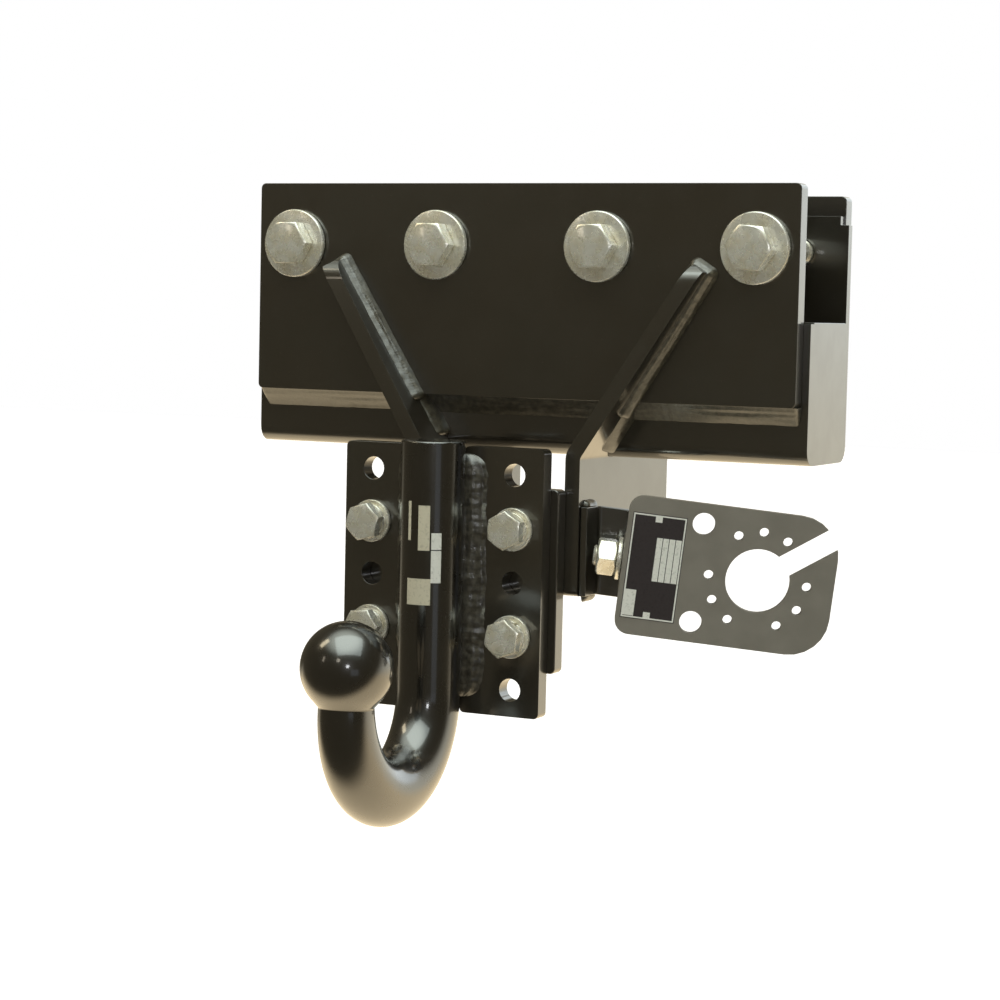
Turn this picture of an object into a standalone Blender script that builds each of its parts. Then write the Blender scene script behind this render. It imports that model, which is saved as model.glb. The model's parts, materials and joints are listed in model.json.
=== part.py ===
"""Height-adjustable swan-neck tow hitch with a trailer socket plate, in metres.

X runs across the vehicle, +Y points forward under it and +Z is up. The origin is the centre of
the clamp bolts' line, on the back face of the front plate, where the vehicle's crossmember bears.
"""

from math import acos, asin, atan2, cos, pi, radians, remainder, sin, sqrt, tan, tau

import bmesh
import bpy
from mathutils import Euler, Matrix, Vector

# Fits
SEAT = 0.0003           # gap left between two faces that rest on each other
HOLE_CLEARANCE = 0.0005  # added to a bolt's radius for its hole

# Clamp: front plate, bent channel, rear plate
PLATE_HEIGHT = 0.122
PLATE_THICK = 0.010
PLATE_CORNER = 0.003
BOLT_LINE_DROP = 0.0355  # from the front plate's top edge to the clamp bolts
CLAMP_OUTER = 0.145      # clamp bolts, from the middle
CLAMP_INNER = 0.051
CLAMP_END = 0.025        # from an outer clamp bolt to the plate's end
CHANNEL_WALL = 0.006
CHANNEL_BEND = 0.009     # outer radius of the channel's bends
CHANNEL_OVERHANG = 0.004  # how far the channel passes the plates at each end
CHANNEL_DEPTH = 0.0657   # outside, front to rear
CHANNEL_SHOW = 0.032     # height that shows below the front plate
CHANNEL_LAP = 0.046      # height of the front leg behind the front plate
CHANNEL_REAR_RISE = 0.0205  # top of the rear leg above the bolt line
CHANNEL_CORNER = 0.005
CAP_THICK = 0.006
REAR_PLATE_RISE = 0.032  # top of the rear plate above the bolt line

# Bent gusset plates that carry the receiver
GUSSET_THICK = 0.0089
GUSSET_INSIDE = 0.0443   # from the middle to a side plate's inner face
GUSSET_LEAN = radians(32.3)
GUSSET_BEND = 0.004      # inner radius of the fold
RIB_STAND = 0.0157       # how far the rib's top stands out from the front plate
RIB_NOSE = 0.013
SIDE_STAND = 0.033       # side plate's front edge, from the front plate's back face
SIDE_DEPTH = 0.128
SIDE_DROP = 0.0765       # side plate's height below the channel
SIDE_CORNER = 0.003
NOTCH = 0.0107           # bevel that clears the weld under the front plate
FOLD_RISE = 0.0033       # fold's inner corner above the side plate's top edge
RIB_CLEARANCE = 0.00125  # from the weld round a rib to the outer clamp washer

# Receiver plate and the swan neck's two flanges
NECK_OFFSET = -0.0214    # the ball's centre line, across
RECEIVER_THICK = 0.010
RECEIVER_HEIGHT = 0.103
RECEIVER_DROP = 0.017    # receiver's top edge below the channel
RECEIVER_LEFT = -0.084
RECEIVER_RIGHT = 0.0455
FLANGE_THICK = 0.010
FLANGE_REACH = 0.0623    # flange's outer edge, from the bar's centre
FLANGE_CORNER = 0.003
HOLE_COLUMN = 0.0445     # flange holes, from the bar's centre
HOLE_PITCH = 0.030
HOLE_COUNT = 5
HOLE_END = 0.015         # first hole, from the flange's end
BOLTED_HOLES = (1, 3)    # the holes of each column that hold bolts, from the top
FINE_TRAVEL = 0.008      # height travel each way in the receiver's slots
FLANGE_RISE = 0.0226     # flange's top edge above the receiver's

# Swan neck, forged with its ball
BAR_RADIUS = 0.018
BAR_SHOW = 0.0031        # bar's top end above the flanges
BAR_SINK = 0.0125        # bar's centre in front of the flanges' front faces
BAR_CHAMFER = 0.001
BEND_RADIUS = 0.04675    # centre line of the U bend
NECK_RADIUS = 0.015
BALL_RADIUS = 0.025
BALL_DROP = 0.1139       # ball's centre below the flanges' top edge
BEND_DROP = 0.0757       # lowest point of the centre line below the ball's centre
BEND_STEPS = 16
BALL_RINGS = 12
BALL_CAP = 0.02          # angle that the last ring leaves at the ball's top

# Fasteners
M16 = {"shank": 0.008, "flats": 0.024, "head": 0.010, "nut": 0.013, "facets": 24}
M12 = {"shank": 0.006, "flats": 0.019, "head": 0.0075, "nut": 0.0108, "facets": 18}
HEAD_CHAMFER = 0.46      # radius of the chamfer circle, as a share of the flats
CLAMP_WASHER = (0.020, 0.004)  # outer radius, thickness
NUT_WASHER = (0.015, 0.003)
SMALL_WASHER = (0.012, 0.0025)
SPRING_WASHER = (0.0101, 0.003)
SPRING_GAP = radians(8)
TIP = 0.004              # thread that stands out of a nut

# Socket plate, its ear and its bracket
SOCKET_THICK = 0.0045
SOCKET_HALF_HEIGHT = 0.0387
SOCKET_LEFT = 0.075      # left edge, from the big hole's centre
SOCKET_RIGHT = 0.042
SOCKET_LEFT_CORNER = 0.008
SOCKET_RIGHT_CORNER = 0.022
SOCKET_BORE = 0.01775
CABLE_SLOT = 0.0126
CABLE_SLOT_ANGLE = 36
SCREW_CIRCLE = 0.0271
SCREW_HOLE = 0.0027
SCREW_ANGLES = (0, 60, 90, 120, 180, 210, 240, 300, 330)
SIDE_HOLE = 0.00625
SIDE_HOLE_BACK = 0.0334  # side holes, to the left of the big hole
SIDE_HOLE_RISE = 0.0275
EAR_RADIUS = 0.013
EAR_HALF_ROOT = 0.019
EAR_SETBACK = 0.018      # swivel axis behind the plate's front face
SWIVEL_OUT = 0.0252      # swivel centre, from the side plate's outer face
SWIVEL_BACK = 0.0092     # and behind the side plate's front edge
SWIVEL_DROP = 0.0546     # and below the channel
SOCKET_YAW = radians(24.7)
SOCKET_DROOP = radians(6.0)
SOCKET_LEAN = radians(3.6)
ARM_THICK = 0.004
ARM_RISE = 0.0031        # bracket's centre above the swivel, where it meets the side plate
ARM_BEND = 0.005         # centre-line radius of the bracket's bends
ARM_SETBACK = 0.017      # bracket's back wall behind the swivel axis
ARM_END = 0.012          # radius of the bracket's rounded end
ARM_INSET = 0.002        # bracket's front end behind the side plate's front edge

# Welds
WELD_BULGE = 0.12        # how domed a fillet is, as a share of its legs
SHOULDER_OUT = 0.62      # a rib weld's shoulder, as a share of its legs
SHOULDER_WIDE = 0.5
SEAM_LEG = 0.008
RIB_WELD = 0.008
RIB_WELD_CAP = 0.014     # how far the weld on the channel climbs the rib
RIB_WELD_LIP = 0.0055    # how far the weld on the plate hangs below it
NECK_WELD_REACH = 0.0285  # weld's edge on a flange, from the bar's centre
NECK_WELD_ANGLE = radians(16)  # where it meets the bar, in front of its middle
NECK_WELD_INSET = 0.004  # weld's ends inside the flange's ends
NECK_WELD_CROWN = 0.0012
RECEIVER_WELD = 0.005
RECEIVER_WELD_INSET = 0.008
ARM_WELD = 0.0035
ARM_WELD_LENGTH = 0.014

# Places that follow from the sizes
PLATE_WIDTH = 2 * (CLAMP_OUTER + CLAMP_END)
PLATE_TOP = BOLT_LINE_DROP
PLATE_BOTTOM = PLATE_TOP - PLATE_HEIGHT
CHANNEL_BOTTOM = PLATE_BOTTOM - CHANNEL_SHOW
CHANNEL_FRONT_TOP = PLATE_BOTTOM + CHANNEL_LAP
CHANNEL_HALF = PLATE_WIDTH / 2 + CHANNEL_OVERHANG
CHANNEL_REAR = SEAT + CHANNEL_DEPTH
REAR_PLATE_FRONT = CHANNEL_REAR + SEAT
REAR_PLATE_BACK = REAR_PLATE_FRONT + PLATE_THICK
GUSSET_OUTSIDE = GUSSET_INSIDE + GUSSET_THICK
SIDE_TOP = CHANNEL_BOTTOM - SEAT
SIDE_BOTTOM = SIDE_TOP - SIDE_DROP
FOLD_Z = SIDE_TOP + FOLD_RISE
WASHER_CLIMB = (CLAMP_OUTER - GUSSET_INSIDE) * sin(GUSSET_LEAN) - FOLD_Z * cos(GUSSET_LEAN)
WASHER_ASIDE = (CLAMP_OUTER - GUSSET_INSIDE) * cos(GUSSET_LEAN) + FOLD_Z * sin(GUSSET_LEAN)
RIB_ASIDE = max(0.0, WASHER_ASIDE - GUSSET_THICK)
RIB_STOP = CLAMP_WASHER[0] + RIB_WELD + RIB_CLEARANCE
RIB_LENGTH = WASHER_CLIMB - sqrt(max(0.0, RIB_STOP**2 - RIB_ASIDE**2))  # ends below the washer
RIB_FRONT = -PLATE_THICK - RIB_STAND
RECEIVER_BACK = -SIDE_STAND - SEAT
RECEIVER_FRONT = RECEIVER_BACK - RECEIVER_THICK
RECEIVER_TOP = CHANNEL_BOTTOM - RECEIVER_DROP
FLANGE_TOP = RECEIVER_TOP + FLANGE_RISE
FLANGE_BACK = RECEIVER_FRONT - SEAT
FLANGE_FRONT = FLANGE_BACK - FLANGE_THICK
FLANGE_HEIGHT = 2 * HOLE_END + (HOLE_COUNT - 1) * HOLE_PITCH
BAR_Y = FLANGE_FRONT - BAR_SINK
BAR_TOP = FLANGE_TOP + BAR_SHOW
BALL_Y = BAR_Y - 2 * BEND_RADIUS
BALL_Z = FLANGE_TOP - BALL_DROP
BEND_Z = BALL_Z - BEND_DROP + BEND_RADIUS
ARM_HEIGHT = 2 * (SIDE_DROP - SWIVEL_DROP + ARM_RISE)
BOLT_XS = (-CLAMP_OUTER, -CLAMP_INNER, CLAMP_INNER, CLAMP_OUTER)
HOLE_ZS = [FLANGE_TOP - HOLE_END - HOLE_PITCH * row for row in range(HOLE_COUNT)]
NECK_BOLTS = [
    (NECK_OFFSET + side * HOLE_COLUMN, HOLE_ZS[row]) for row in BOLTED_HOLES for side in (-1, 1)
]
SWIVEL = Matrix.Translation(
    (GUSSET_OUTSIDE + SWIVEL_OUT, SWIVEL_BACK - SIDE_STAND, CHANNEL_BOTTOM - SWIVEL_DROP)
) @ Euler((pi / 2 + SOCKET_LEAN, SOCKET_DROOP, SOCKET_YAW)).to_matrix().to_4x4()

# Planes for flat outlines: where an outline's two coordinates and its thickness point
ACROSS = Matrix(((0, 0, 1), (1, 0, 0), (0, 1, 0))).to_4x4()   # (y, z), thick along X
FACING = Matrix(((1, 0, 0), (0, 0, 1), (0, 1, 0))).to_4x4()   # (x, z), thick along Y
LEVEL = Matrix.Identity(4)                                    # (x, y), thick along Z
FORWARD = Matrix.Rotation(-pi / 2, 4, "X")                    # turns +Z to +Y
ARC_STEPS = 6
CIRCLE_STEPS = 24


def material(name, colour, roughness, metallic):
    made = bpy.data.materials.new(name)
    made.use_nodes = True
    surface = made.node_tree.nodes["Principled BSDF"]
    surface.inputs["Base Color"].default_value = (*colour, 1)
    surface.inputs["Roughness"].default_value = roughness
    surface.inputs["Metallic"].default_value = metallic
    return made


def black_paint():
    return material("black_paint", (0.010, 0.009, 0.008), 0.25, 0.0)


def satin_paint():
    return material("satin_paint", (0.060, 0.058, 0.055), 0.5, 0.0)


def zinc():
    return material("zinc", (0.70, 0.69, 0.62), 0.3, 1.0)


def painted_weld():
    return material("painted_weld", (0.022, 0.020, 0.017), 0.4, 0.0)


def outline(*corners):
    """A closed outline through corners (u, v, radius), each rounded by its own radius."""
    points = []
    for place, (u, v, radius) in enumerate(corners):
        here = Vector((u, v))
        if radius == 0:
            points.append(here)
            continue
        back = (Vector(corners[place - 1][:2]) - here).normalized()
        ahead = (Vector(corners[(place + 1) % len(corners)][:2]) - here).normalized()
        half = back.angle(ahead) / 2
        centre = here + (back + ahead).normalized() * radius / sin(half)
        start = here + back * radius / tan(half) - centre
        end = here + ahead * radius / tan(half) - centre
        first = atan2(start.y, start.x)
        sweep = remainder(atan2(end.y, end.x) - first, tau)
        for step in range(ARC_STEPS + 1):
            points.append(centre + polar(radius, first + sweep * step / ARC_STEPS))
    return points


def polar(radius, angle):
    return Vector((radius * cos(angle), radius * sin(angle)))


def rectangle(left, right, bottom, top, radius=0.0):
    return outline(
        (left, bottom, radius), (right, bottom, radius), (right, top, radius), (left, top, radius)
    )


def circle(centre, radius, steps=CIRCLE_STEPS):
    return [Vector(centre) + polar(radius, tau * step / steps) for step in range(steps)]


def slot(centre, half_length, radius):
    """An upright slot with round ends."""
    half = CIRCLE_STEPS // 2
    points = []
    for end, start in ((1, 0), (-1, pi)):
        middle = Vector(centre) + Vector((0, end * (half_length - radius)))
        points += [middle + polar(radius, start + pi * step / half) for step in range(half + 1)]
    return points


def finish(name, mesh_data, paint, place=LEVEL):
    """Turns a bmesh into a named object with flat faces flat and round faces smooth."""
    bmesh.ops.recalc_face_normals(mesh_data, faces=mesh_data.faces)
    mesh = bpy.data.meshes.new(name)
    mesh_data.to_mesh(mesh)
    mesh_data.free()
    mesh.shade_smooth()
    mesh.set_sharp_from_angle(angle=radians(35))
    return instance_of(name, mesh, paint, place)


def instance_of(name, mesh, paint, place):
    made = bpy.data.objects.new(name, mesh)
    made.matrix_world = place
    if paint and not mesh.materials:
        mesh.materials.append(paint)
    bpy.context.scene.collection.objects.link(made)
    return made


def add_prism(mesh_data, points, plane, low, high):
    """Adds a flat outline drawn in a plane, given its thickness from low to high."""
    corners = [mesh_data.verts.new(plane @ Vector((*point, low))) for point in points]
    face = mesh_data.faces.new(corners)
    grown = bmesh.ops.extrude_face_region(mesh_data, geom=[face], use_keep_orig=True)
    moved = [item for item in grown["geom"] if isinstance(item, bmesh.types.BMVert)]
    lift = plane.to_3x3() @ Vector((0, 0, high - low))
    bmesh.ops.translate(mesh_data, verts=moved, vec=lift)


def prism(name, points, plane, low, high, paint=None, place=LEVEL):
    mesh_data = bmesh.new()
    add_prism(mesh_data, points, plane, low, high)
    return finish(name, mesh_data, paint, place)


def loft(name, rings, paint=None, place=LEVEL, closed=False):
    """A skin over rings of equally many points, capped at both ends unless it closes on itself."""
    mesh_data = bmesh.new()
    made = [[mesh_data.verts.new(point) for point in ring] for ring in rings]
    count = len(made[0])
    spans = zip(made, made[1:] + made[:1]) if closed else zip(made, made[1:])
    for near, far in spans:
        for step in range(count):
            after = (step + 1) % count
            mesh_data.faces.new((near[step], near[after], far[after], far[step]))
    if not closed:
        mesh_data.faces.new(made[0])
        mesh_data.faces.new(made[-1])
    return finish(name, mesh_data, paint, place)


def hide_tool(tool):
    tool.hide_render = True
    tool.display_type = "WIRE"
    return tool


def shape(target, operation, tool):
    """Joins, cuts or crops a piece with another shape, which stays out of the model."""
    modifier = target.modifiers.new(tool.name, "BOOLEAN")
    modifier.operation = operation
    modifier.solver = "EXACT"
    modifier.object = hide_tool(tool)


def pierce(target, outlines, plane, low, high, place=LEVEL):
    """Cuts one hole through a piece for each outline."""
    mesh_data = bmesh.new()
    for points in outlines:
        add_prism(mesh_data, points, plane, low, high)
    shape(target, "DIFFERENCE", finish(target.name + "_holes", mesh_data, None, place))


def fillet_outline(corner, u_leg, v_leg, bulge=WELD_BULGE):
    """A weld's section in a square corner, with a slightly domed face."""
    u, v = corner
    domed = Vector((u + u_leg * (0.5 + bulge), v + v_leg * (0.5 + bulge)))
    return [Vector((u, v)), Vector((u + u_leg, v)), domed, Vector((u, v + v_leg))]


# Clamp


def front_plate(paint):
    half = PLATE_WIDTH / 2
    points = rectangle(-half, half, PLATE_BOTTOM, PLATE_TOP, PLATE_CORNER)
    plate = prism("front_plate", points, FACING, -PLATE_THICK, 0, paint)
    drill_clamp_holes(plate, -PLATE_THICK, 0)


def drill_clamp_holes(plate, front, back):
    holes = [circle((x, 0), M16["shank"] + HOLE_CLEARANCE) for x in BOLT_XS]
    pierce(plate, holes, FACING, front - PLATE_THICK, back + PLATE_THICK)


def channel(paint):
    front, rear, wall = SEAT, CHANNEL_REAR, CHANNEL_WALL
    floor, inner = CHANNEL_BOTTOM + wall, CHANNEL_BEND - wall
    points = outline(
        (front, CHANNEL_FRONT_TOP, 0),
        (front, CHANNEL_BOTTOM, CHANNEL_BEND),
        (rear, CHANNEL_BOTTOM, CHANNEL_BEND),
        (rear, CHANNEL_REAR_RISE, 0),
        (rear - wall, CHANNEL_REAR_RISE, 0),
        (rear - wall, floor, inner),
        (front + wall, floor, inner),
        (front + wall, CHANNEL_FRONT_TOP, 0),
    )
    body = prism("channel", points, ACROSS, -CHANNEL_HALF, CHANNEL_HALF, paint)
    round_rear_leg(body)
    drill_clamp_holes(body, rear - wall, rear)


def round_rear_leg(body):
    """Rounds the two upper corners of the channel's rear leg."""
    mesh_data = bmesh.new()
    mesh_data.from_mesh(body.data)
    corners = [
        edge
        for edge in mesh_data.edges
        if all(abs(vert.co.z - CHANNEL_REAR_RISE) < 1e-5 for vert in edge.verts)
        and abs(edge.verts[0].co.x - edge.verts[1].co.x) < 1e-5
    ]
    bmesh.ops.bevel(mesh_data, geom=corners, offset=CHANNEL_CORNER, segments=4, affect="EDGES")
    mesh_data.to_mesh(body.data)
    mesh_data.free()


def end_caps(paint):
    front = SEAT + CHANNEL_WALL + SEAT
    rear = CHANNEL_REAR - CHANNEL_WALL - SEAT
    floor = CHANNEL_BOTTOM + CHANNEL_WALL + SEAT
    inner = CHANNEL_BEND - CHANNEL_WALL
    points = outline(
        (front, floor, inner), (rear, floor, inner), (rear, CHANNEL_FRONT_TOP, 0), (front, CHANNEL_FRONT_TOP, 0)
    )
    inside = CHANNEL_HALF - CAP_THICK
    prism("end_cap_left", points, ACROSS, -CHANNEL_HALF, -inside, paint)
    prism("end_cap_right", points, ACROSS, inside, CHANNEL_HALF, paint)


def rear_plate(paint):
    half = PLATE_WIDTH / 2
    points = rectangle(-half, half, REAR_PLATE_RISE - PLATE_HEIGHT, REAR_PLATE_RISE, PLATE_CORNER)
    plate = prism("rear_plate", points, FACING, REAR_PLATE_FRONT, REAR_PLATE_BACK, paint)
    drill_clamp_holes(plate, REAR_PLATE_FRONT, REAR_PLATE_BACK)


# Gussets


def rib_point(side, along, outward):
    """A point on a rib: along it from the fold's inner corner, and outward across its thickness."""
    x = GUSSET_INSIDE + along * sin(GUSSET_LEAN) + outward * cos(GUSSET_LEAN)
    z = FOLD_Z + along * cos(GUSSET_LEAN) - outward * sin(GUSSET_LEAN)
    return side * x, z


def gusset_profile(side, grow=0.0):
    """Front view of a bent gusset: the upright side plate below and the leaning rib above."""
    inner_fold = rib_point(side, -grow * tan(GUSSET_LEAN / 2), -grow)
    reach = GUSSET_THICK + grow
    outer_fold = rib_point(side, reach * tan(GUSSET_LEAN / 2), reach)
    inner_top = rib_point(side, RIB_LENGTH + grow, -grow)
    outer_top = rib_point(side, RIB_LENGTH + grow, reach)
    return outline(
        (side * (GUSSET_INSIDE - grow), SIDE_BOTTOM - grow, 0),
        (*inner_fold, GUSSET_BEND + GUSSET_THICK + grow),
        (*inner_top, 0),
        (*outer_top, 0),
        (*outer_fold, GUSSET_BEND - grow),
        (side * (GUSSET_OUTSIDE + grow), SIDE_BOTTOM - grow, 0),
    )


def gusset_side_view(grow=0.0):
    """Side view of a gusset: it wraps the plate's face, the weld under it and the channel."""
    top = rib_point(1, RIB_LENGTH, 0)[1] + grow
    plate = -PLATE_THICK - SEAT + grow
    notch_top = PLATE_BOTTOM + SEAT + (plate + PLATE_THICK) - grow
    return outline(
        (plate, top, 0),
        (RIB_FRONT - grow, top, RIB_NOSE),
        (-SIDE_STAND - grow, FOLD_Z, 0),
        (-SIDE_STAND - grow, SIDE_BOTTOM - grow, SIDE_CORNER),
        (SIDE_DEPTH - SIDE_STAND + grow, SIDE_BOTTOM - grow, SIDE_CORNER),
        (SIDE_DEPTH - SIDE_STAND + grow, SIDE_TOP + grow, SIDE_CORNER),
        (grow, SIDE_TOP + grow, CHANNEL_BEND),
        (grow, notch_top - NOTCH, 0),
        (plate, notch_top, 0),
    )


def gusset_solid(name, side, grow, paint=None):
    reach = PLATE_WIDTH
    body = prism(name, gusset_profile(side, grow), FACING, -reach, reach, paint)
    crop = prism(name + "_side_view", gusset_side_view(grow), ACROSS, -reach, reach)
    shape(body, "INTERSECT", crop)
    return body


# Receiver and flanges


def receiver_plate(paint):
    bottom = RECEIVER_TOP - RECEIVER_HEIGHT
    points = rectangle(RECEIVER_LEFT, RECEIVER_RIGHT, bottom, RECEIVER_TOP, PLATE_CORNER)
    plate = prism("receiver_plate", points, FACING, RECEIVER_FRONT, RECEIVER_BACK, paint)
    width = M12["shank"] + HOLE_CLEARANCE
    half_length = FINE_TRAVEL + width
    slots = [slot((x, z), half_length, width) for x, z in NECK_BOLTS]
    pierce(plate, slots, FACING, RECEIVER_FRONT - SEAT / 2, RECEIVER_BACK + SEAT / 2)


def flange(name, side, paint):
    """One flange, whose inner edge meets the bar's round side."""
    inner = sqrt(BAR_RADIUS**2 - BAR_SINK**2) + SEAT
    left, right = sorted((NECK_OFFSET + side * inner, NECK_OFFSET + side * FLANGE_REACH))
    points = rectangle(left, right, FLANGE_TOP - FLANGE_HEIGHT, FLANGE_TOP, FLANGE_CORNER)
    plate = prism(name, points, FACING, FLANGE_FRONT, FLANGE_BACK, paint)
    x = NECK_OFFSET + side * HOLE_COLUMN
    holes = [circle((x, z), M12["shank"] + HOLE_CLEARANCE) for z in HOLE_ZS]
    pierce(plate, holes, FACING, FLANGE_FRONT - FLANGE_THICK, FLANGE_BACK + FLANGE_THICK)


# Swan neck


def swan_neck(paint):
    """The bar, its U bend, the thinner neck and the ball, as one forging."""
    rings = []

    def ring(y, z, angle, radius):
        """A circle across the centre line, whose direction is angle from straight down."""
        middle = Vector((NECK_OFFSET, y, z))
        outward = Vector((0, cos(angle), sin(angle)))
        points = circle((0, 0), radius)
        rings.append([middle + Vector((point.x, 0, 0)) + outward * point.y for point in points])

    bend_y = BAR_Y - BEND_RADIUS
    ring(BAR_Y, BAR_TOP, 0, BAR_RADIUS - BAR_CHAMFER)
    ring(BAR_Y, BAR_TOP - BAR_CHAMFER, 0, BAR_RADIUS)
    for step in range(BEND_STEPS + 1):
        angle = -pi * step / BEND_STEPS
        taper = BAR_RADIUS + (NECK_RADIUS - BAR_RADIUS) * step / BEND_STEPS
        y = bend_y + BEND_RADIUS * cos(angle)
        ring(y, BEND_Z + BEND_RADIUS * sin(angle), angle, taper)
    lowest = -asin(sqrt(BALL_RADIUS**2 - NECK_RADIUS**2) / BALL_RADIUS)
    for step in range(BALL_RINGS):
        angle = lowest + (pi / 2 - lowest) * step / BALL_RINGS
        ring(BALL_Y, BALL_Z + BALL_RADIUS * sin(angle), -pi, BALL_RADIUS * cos(angle))
    ring(BALL_Y, BALL_Z + BALL_RADIUS * cos(BALL_CAP), -pi, BALL_RADIUS * sin(BALL_CAP))
    loft("swan_neck", rings, paint)


# Fasteners, drawn along +Z from the seat of the head, whose head lies below it


def hexagon(flats, facets):
    """Radius of a hexagon in each of many directions."""
    sector = pi / 3
    turns = [tau * step / facets for step in range(facets)]
    return [(turn, flats / 2 / cos(remainder(turn - sector / 2, sector))) for turn in turns]


def hex_ring(size, z, chamfer=0):
    """A hexagonal ring, whose corners drop by a 30 degree chamfer on the side it names."""
    limit = size["flats"] * HEAD_CHAMFER
    points = []
    for turn, radius in hexagon(size["flats"], size["facets"]):
        drop = max(0.0, radius - limit) * tan(radians(30))
        points.append(Vector((*polar(radius, turn), z - chamfer * drop)))
    return points


def round_ring(radius, z, facets):
    return [point.to_3d() + Vector((0, 0, z)) for point in circle((0, 0), radius, facets)]


def bolt_mesh(name, size, length, paint):
    """A hexagon bolt: chamfered head, shank and a chamfered tip."""
    facets, shank = size["facets"], size["shank"]
    tip = 0.2 * shank
    rings = [
        round_ring(size["flats"] * HEAD_CHAMFER, -size["head"], facets),
        hex_ring(size, -size["head"], chamfer=-1),
        hex_ring(size, 0),
        round_ring(shank, 0, facets),
        round_ring(shank, length - tip, facets),
        round_ring(shank - tip, length, facets),
    ]
    return loft(name, rings, paint)


def nut_mesh(name, size, paint):
    """A hexagon nut, chamfered on both faces, that fits around the shank."""
    facets, high = size["facets"], size["nut"]
    bore, limit = size["shank"] + SEAT, size["flats"] * HEAD_CHAMFER
    rings = [
        round_ring(bore, 0, facets),
        round_ring(limit, 0, facets),
        hex_ring(size, 0, chamfer=-1),
        hex_ring(size, high, chamfer=1),
        round_ring(limit, high, facets),
        round_ring(bore, high, facets),
    ]
    return loft(name, rings, paint, closed=True)


def washer_mesh(name, size, washer, paint):
    radius, thick = washer
    facets, bore = size["facets"], size["shank"] + SEAT
    rings = [
        round_ring(bore, 0, facets),
        round_ring(radius, 0, facets),
        round_ring(radius, thick, facets),
        round_ring(bore, thick, facets),
    ]
    return loft(name, rings, paint, closed=True)


def spring_washer_mesh(name, size, paint):
    """A spring washer: a square bar wound once, with a gap between its ends."""
    radius, thick = SPRING_WASHER
    bore, turns = size["shank"] + SEAT, size["facets"]
    rings = []
    for step in range(turns + 1):
        angle = SPRING_GAP / 2 + (tau - SPRING_GAP) * step / turns
        near, far = polar(bore, angle), polar(radius, angle)
        corners = ((near, 0), (far, 0), (far, thick), (near, thick))
        rings.append([Vector((*point, z)) for point, z in corners])
    return loft(name, rings, paint)


def repeat(make, names, places, *sizes):
    """Makes a fastener once and sets a copy of it, which shares its mesh, at each place."""
    first = make(names[0], *sizes)
    first.matrix_world = places[0]
    for name, place in zip(names[1:], places[1:]):
        instance_of(name, first.data, None, place)


def numbered(name, count):
    return [f"{name}_{number + 1}" for number in range(count)]


def facing_forward(spots, y):
    """Places on a bolt row whose +Z points forward along +Y."""
    return [Matrix.Translation((x, y, z)) @ FORWARD for x, z in spots]


def clamp_fasteners(paint):
    spots = [(x, 0) for x in BOLT_XS]
    washer_front = -PLATE_THICK - SEAT - CLAMP_WASHER[1]
    seat = washer_front - SEAT
    washer_rear = REAR_PLATE_BACK + SEAT
    nut = washer_rear + NUT_WASHER[1] + SEAT
    length = nut + M16["nut"] + TIP - seat
    repeat(bolt_mesh, numbered("clamp_bolt", 4), facing_forward(spots, seat), M16, length, paint)
    repeat(
        washer_mesh,
        numbered("clamp_washer_front", 4),
        facing_forward(spots, washer_front),
        M16,
        CLAMP_WASHER,
        paint,
    )
    repeat(
        washer_mesh,
        numbered("clamp_washer_rear", 4),
        facing_forward(spots, washer_rear),
        M16,
        NUT_WASHER,
        paint,
    )
    repeat(nut_mesh, numbered("clamp_nut", 4), facing_forward(spots, nut), M16, paint)


def neck_fasteners(paint):
    washer = FLANGE_FRONT - SEAT - SMALL_WASHER[1]
    spring = washer - SEAT - SPRING_WASHER[1]
    seat = spring - SEAT
    washer_rear = RECEIVER_BACK + SEAT
    nut = washer_rear + SMALL_WASHER[1] + SEAT
    length = nut + M12["nut"] + TIP - seat
    count = len(NECK_BOLTS)
    repeat(bolt_mesh, numbered("neck_bolt", count), facing_forward(NECK_BOLTS, seat), M12, length, paint)
    repeat(
        spring_washer_mesh,
        numbered("neck_spring_washer", count),
        facing_forward(NECK_BOLTS, spring),
        M12,
        paint,
    )
    repeat(
        washer_mesh,
        numbered("neck_washer_front", count),
        facing_forward(NECK_BOLTS, washer),
        M12,
        SMALL_WASHER,
        paint,
    )
    repeat(
        washer_mesh,
        numbered("neck_washer_rear", count),
        facing_forward(NECK_BOLTS, washer_rear),
        M12,
        SMALL_WASHER,
        paint,
    )
    repeat(nut_mesh, numbered("neck_nut", count), facing_forward(NECK_BOLTS, nut), M12, paint)


# Socket bracket and plate, in the swivel's frame: x along its bolt, y up, z to the plate's front


def socket_plate(paint):
    """The plate, its bent ear on the swivel bolt, the cable slot and the screw holes."""
    bore_x = SOCKET_LEFT - SOCKET_THICK / 2
    front, back = EAR_SETBACK, EAR_SETBACK - SOCKET_THICK
    left, right = bore_x - SOCKET_LEFT, bore_x + SOCKET_RIGHT
    half = SOCKET_HALF_HEIGHT
    points = outline(
        (left, -half, SOCKET_LEFT_CORNER),
        (right, -half, SOCKET_RIGHT_CORNER),
        (right, half, SOCKET_RIGHT_CORNER),
        (left, half, SOCKET_LEFT_CORNER),
    )
    plate = prism("socket_plate", points, LEVEL, back, front, paint, SWIVEL)
    shape(plate, "UNION", socket_ear(front))
    middle = Vector((bore_x, 0))
    holes = [circle(middle, SOCKET_BORE, 2 * CIRCLE_STEPS), cable_slot(middle)]
    holes += [circle(middle + polar(SCREW_CIRCLE, radians(turn)), SCREW_HOLE, 12) for turn in SCREW_ANGLES]
    for side in (-1, 1):
        holes.append(circle(middle + Vector((-SIDE_HOLE_BACK, side * SIDE_HOLE_RISE)), SIDE_HOLE))
    low, high = back - SOCKET_THICK, front + SOCKET_THICK
    for number, hole in enumerate(holes):
        tool = prism(f"socket_hole_{number}", hole, LEVEL, low, high, None, SWIVEL)
        shape(plate, "DIFFERENCE", tool)


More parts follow.
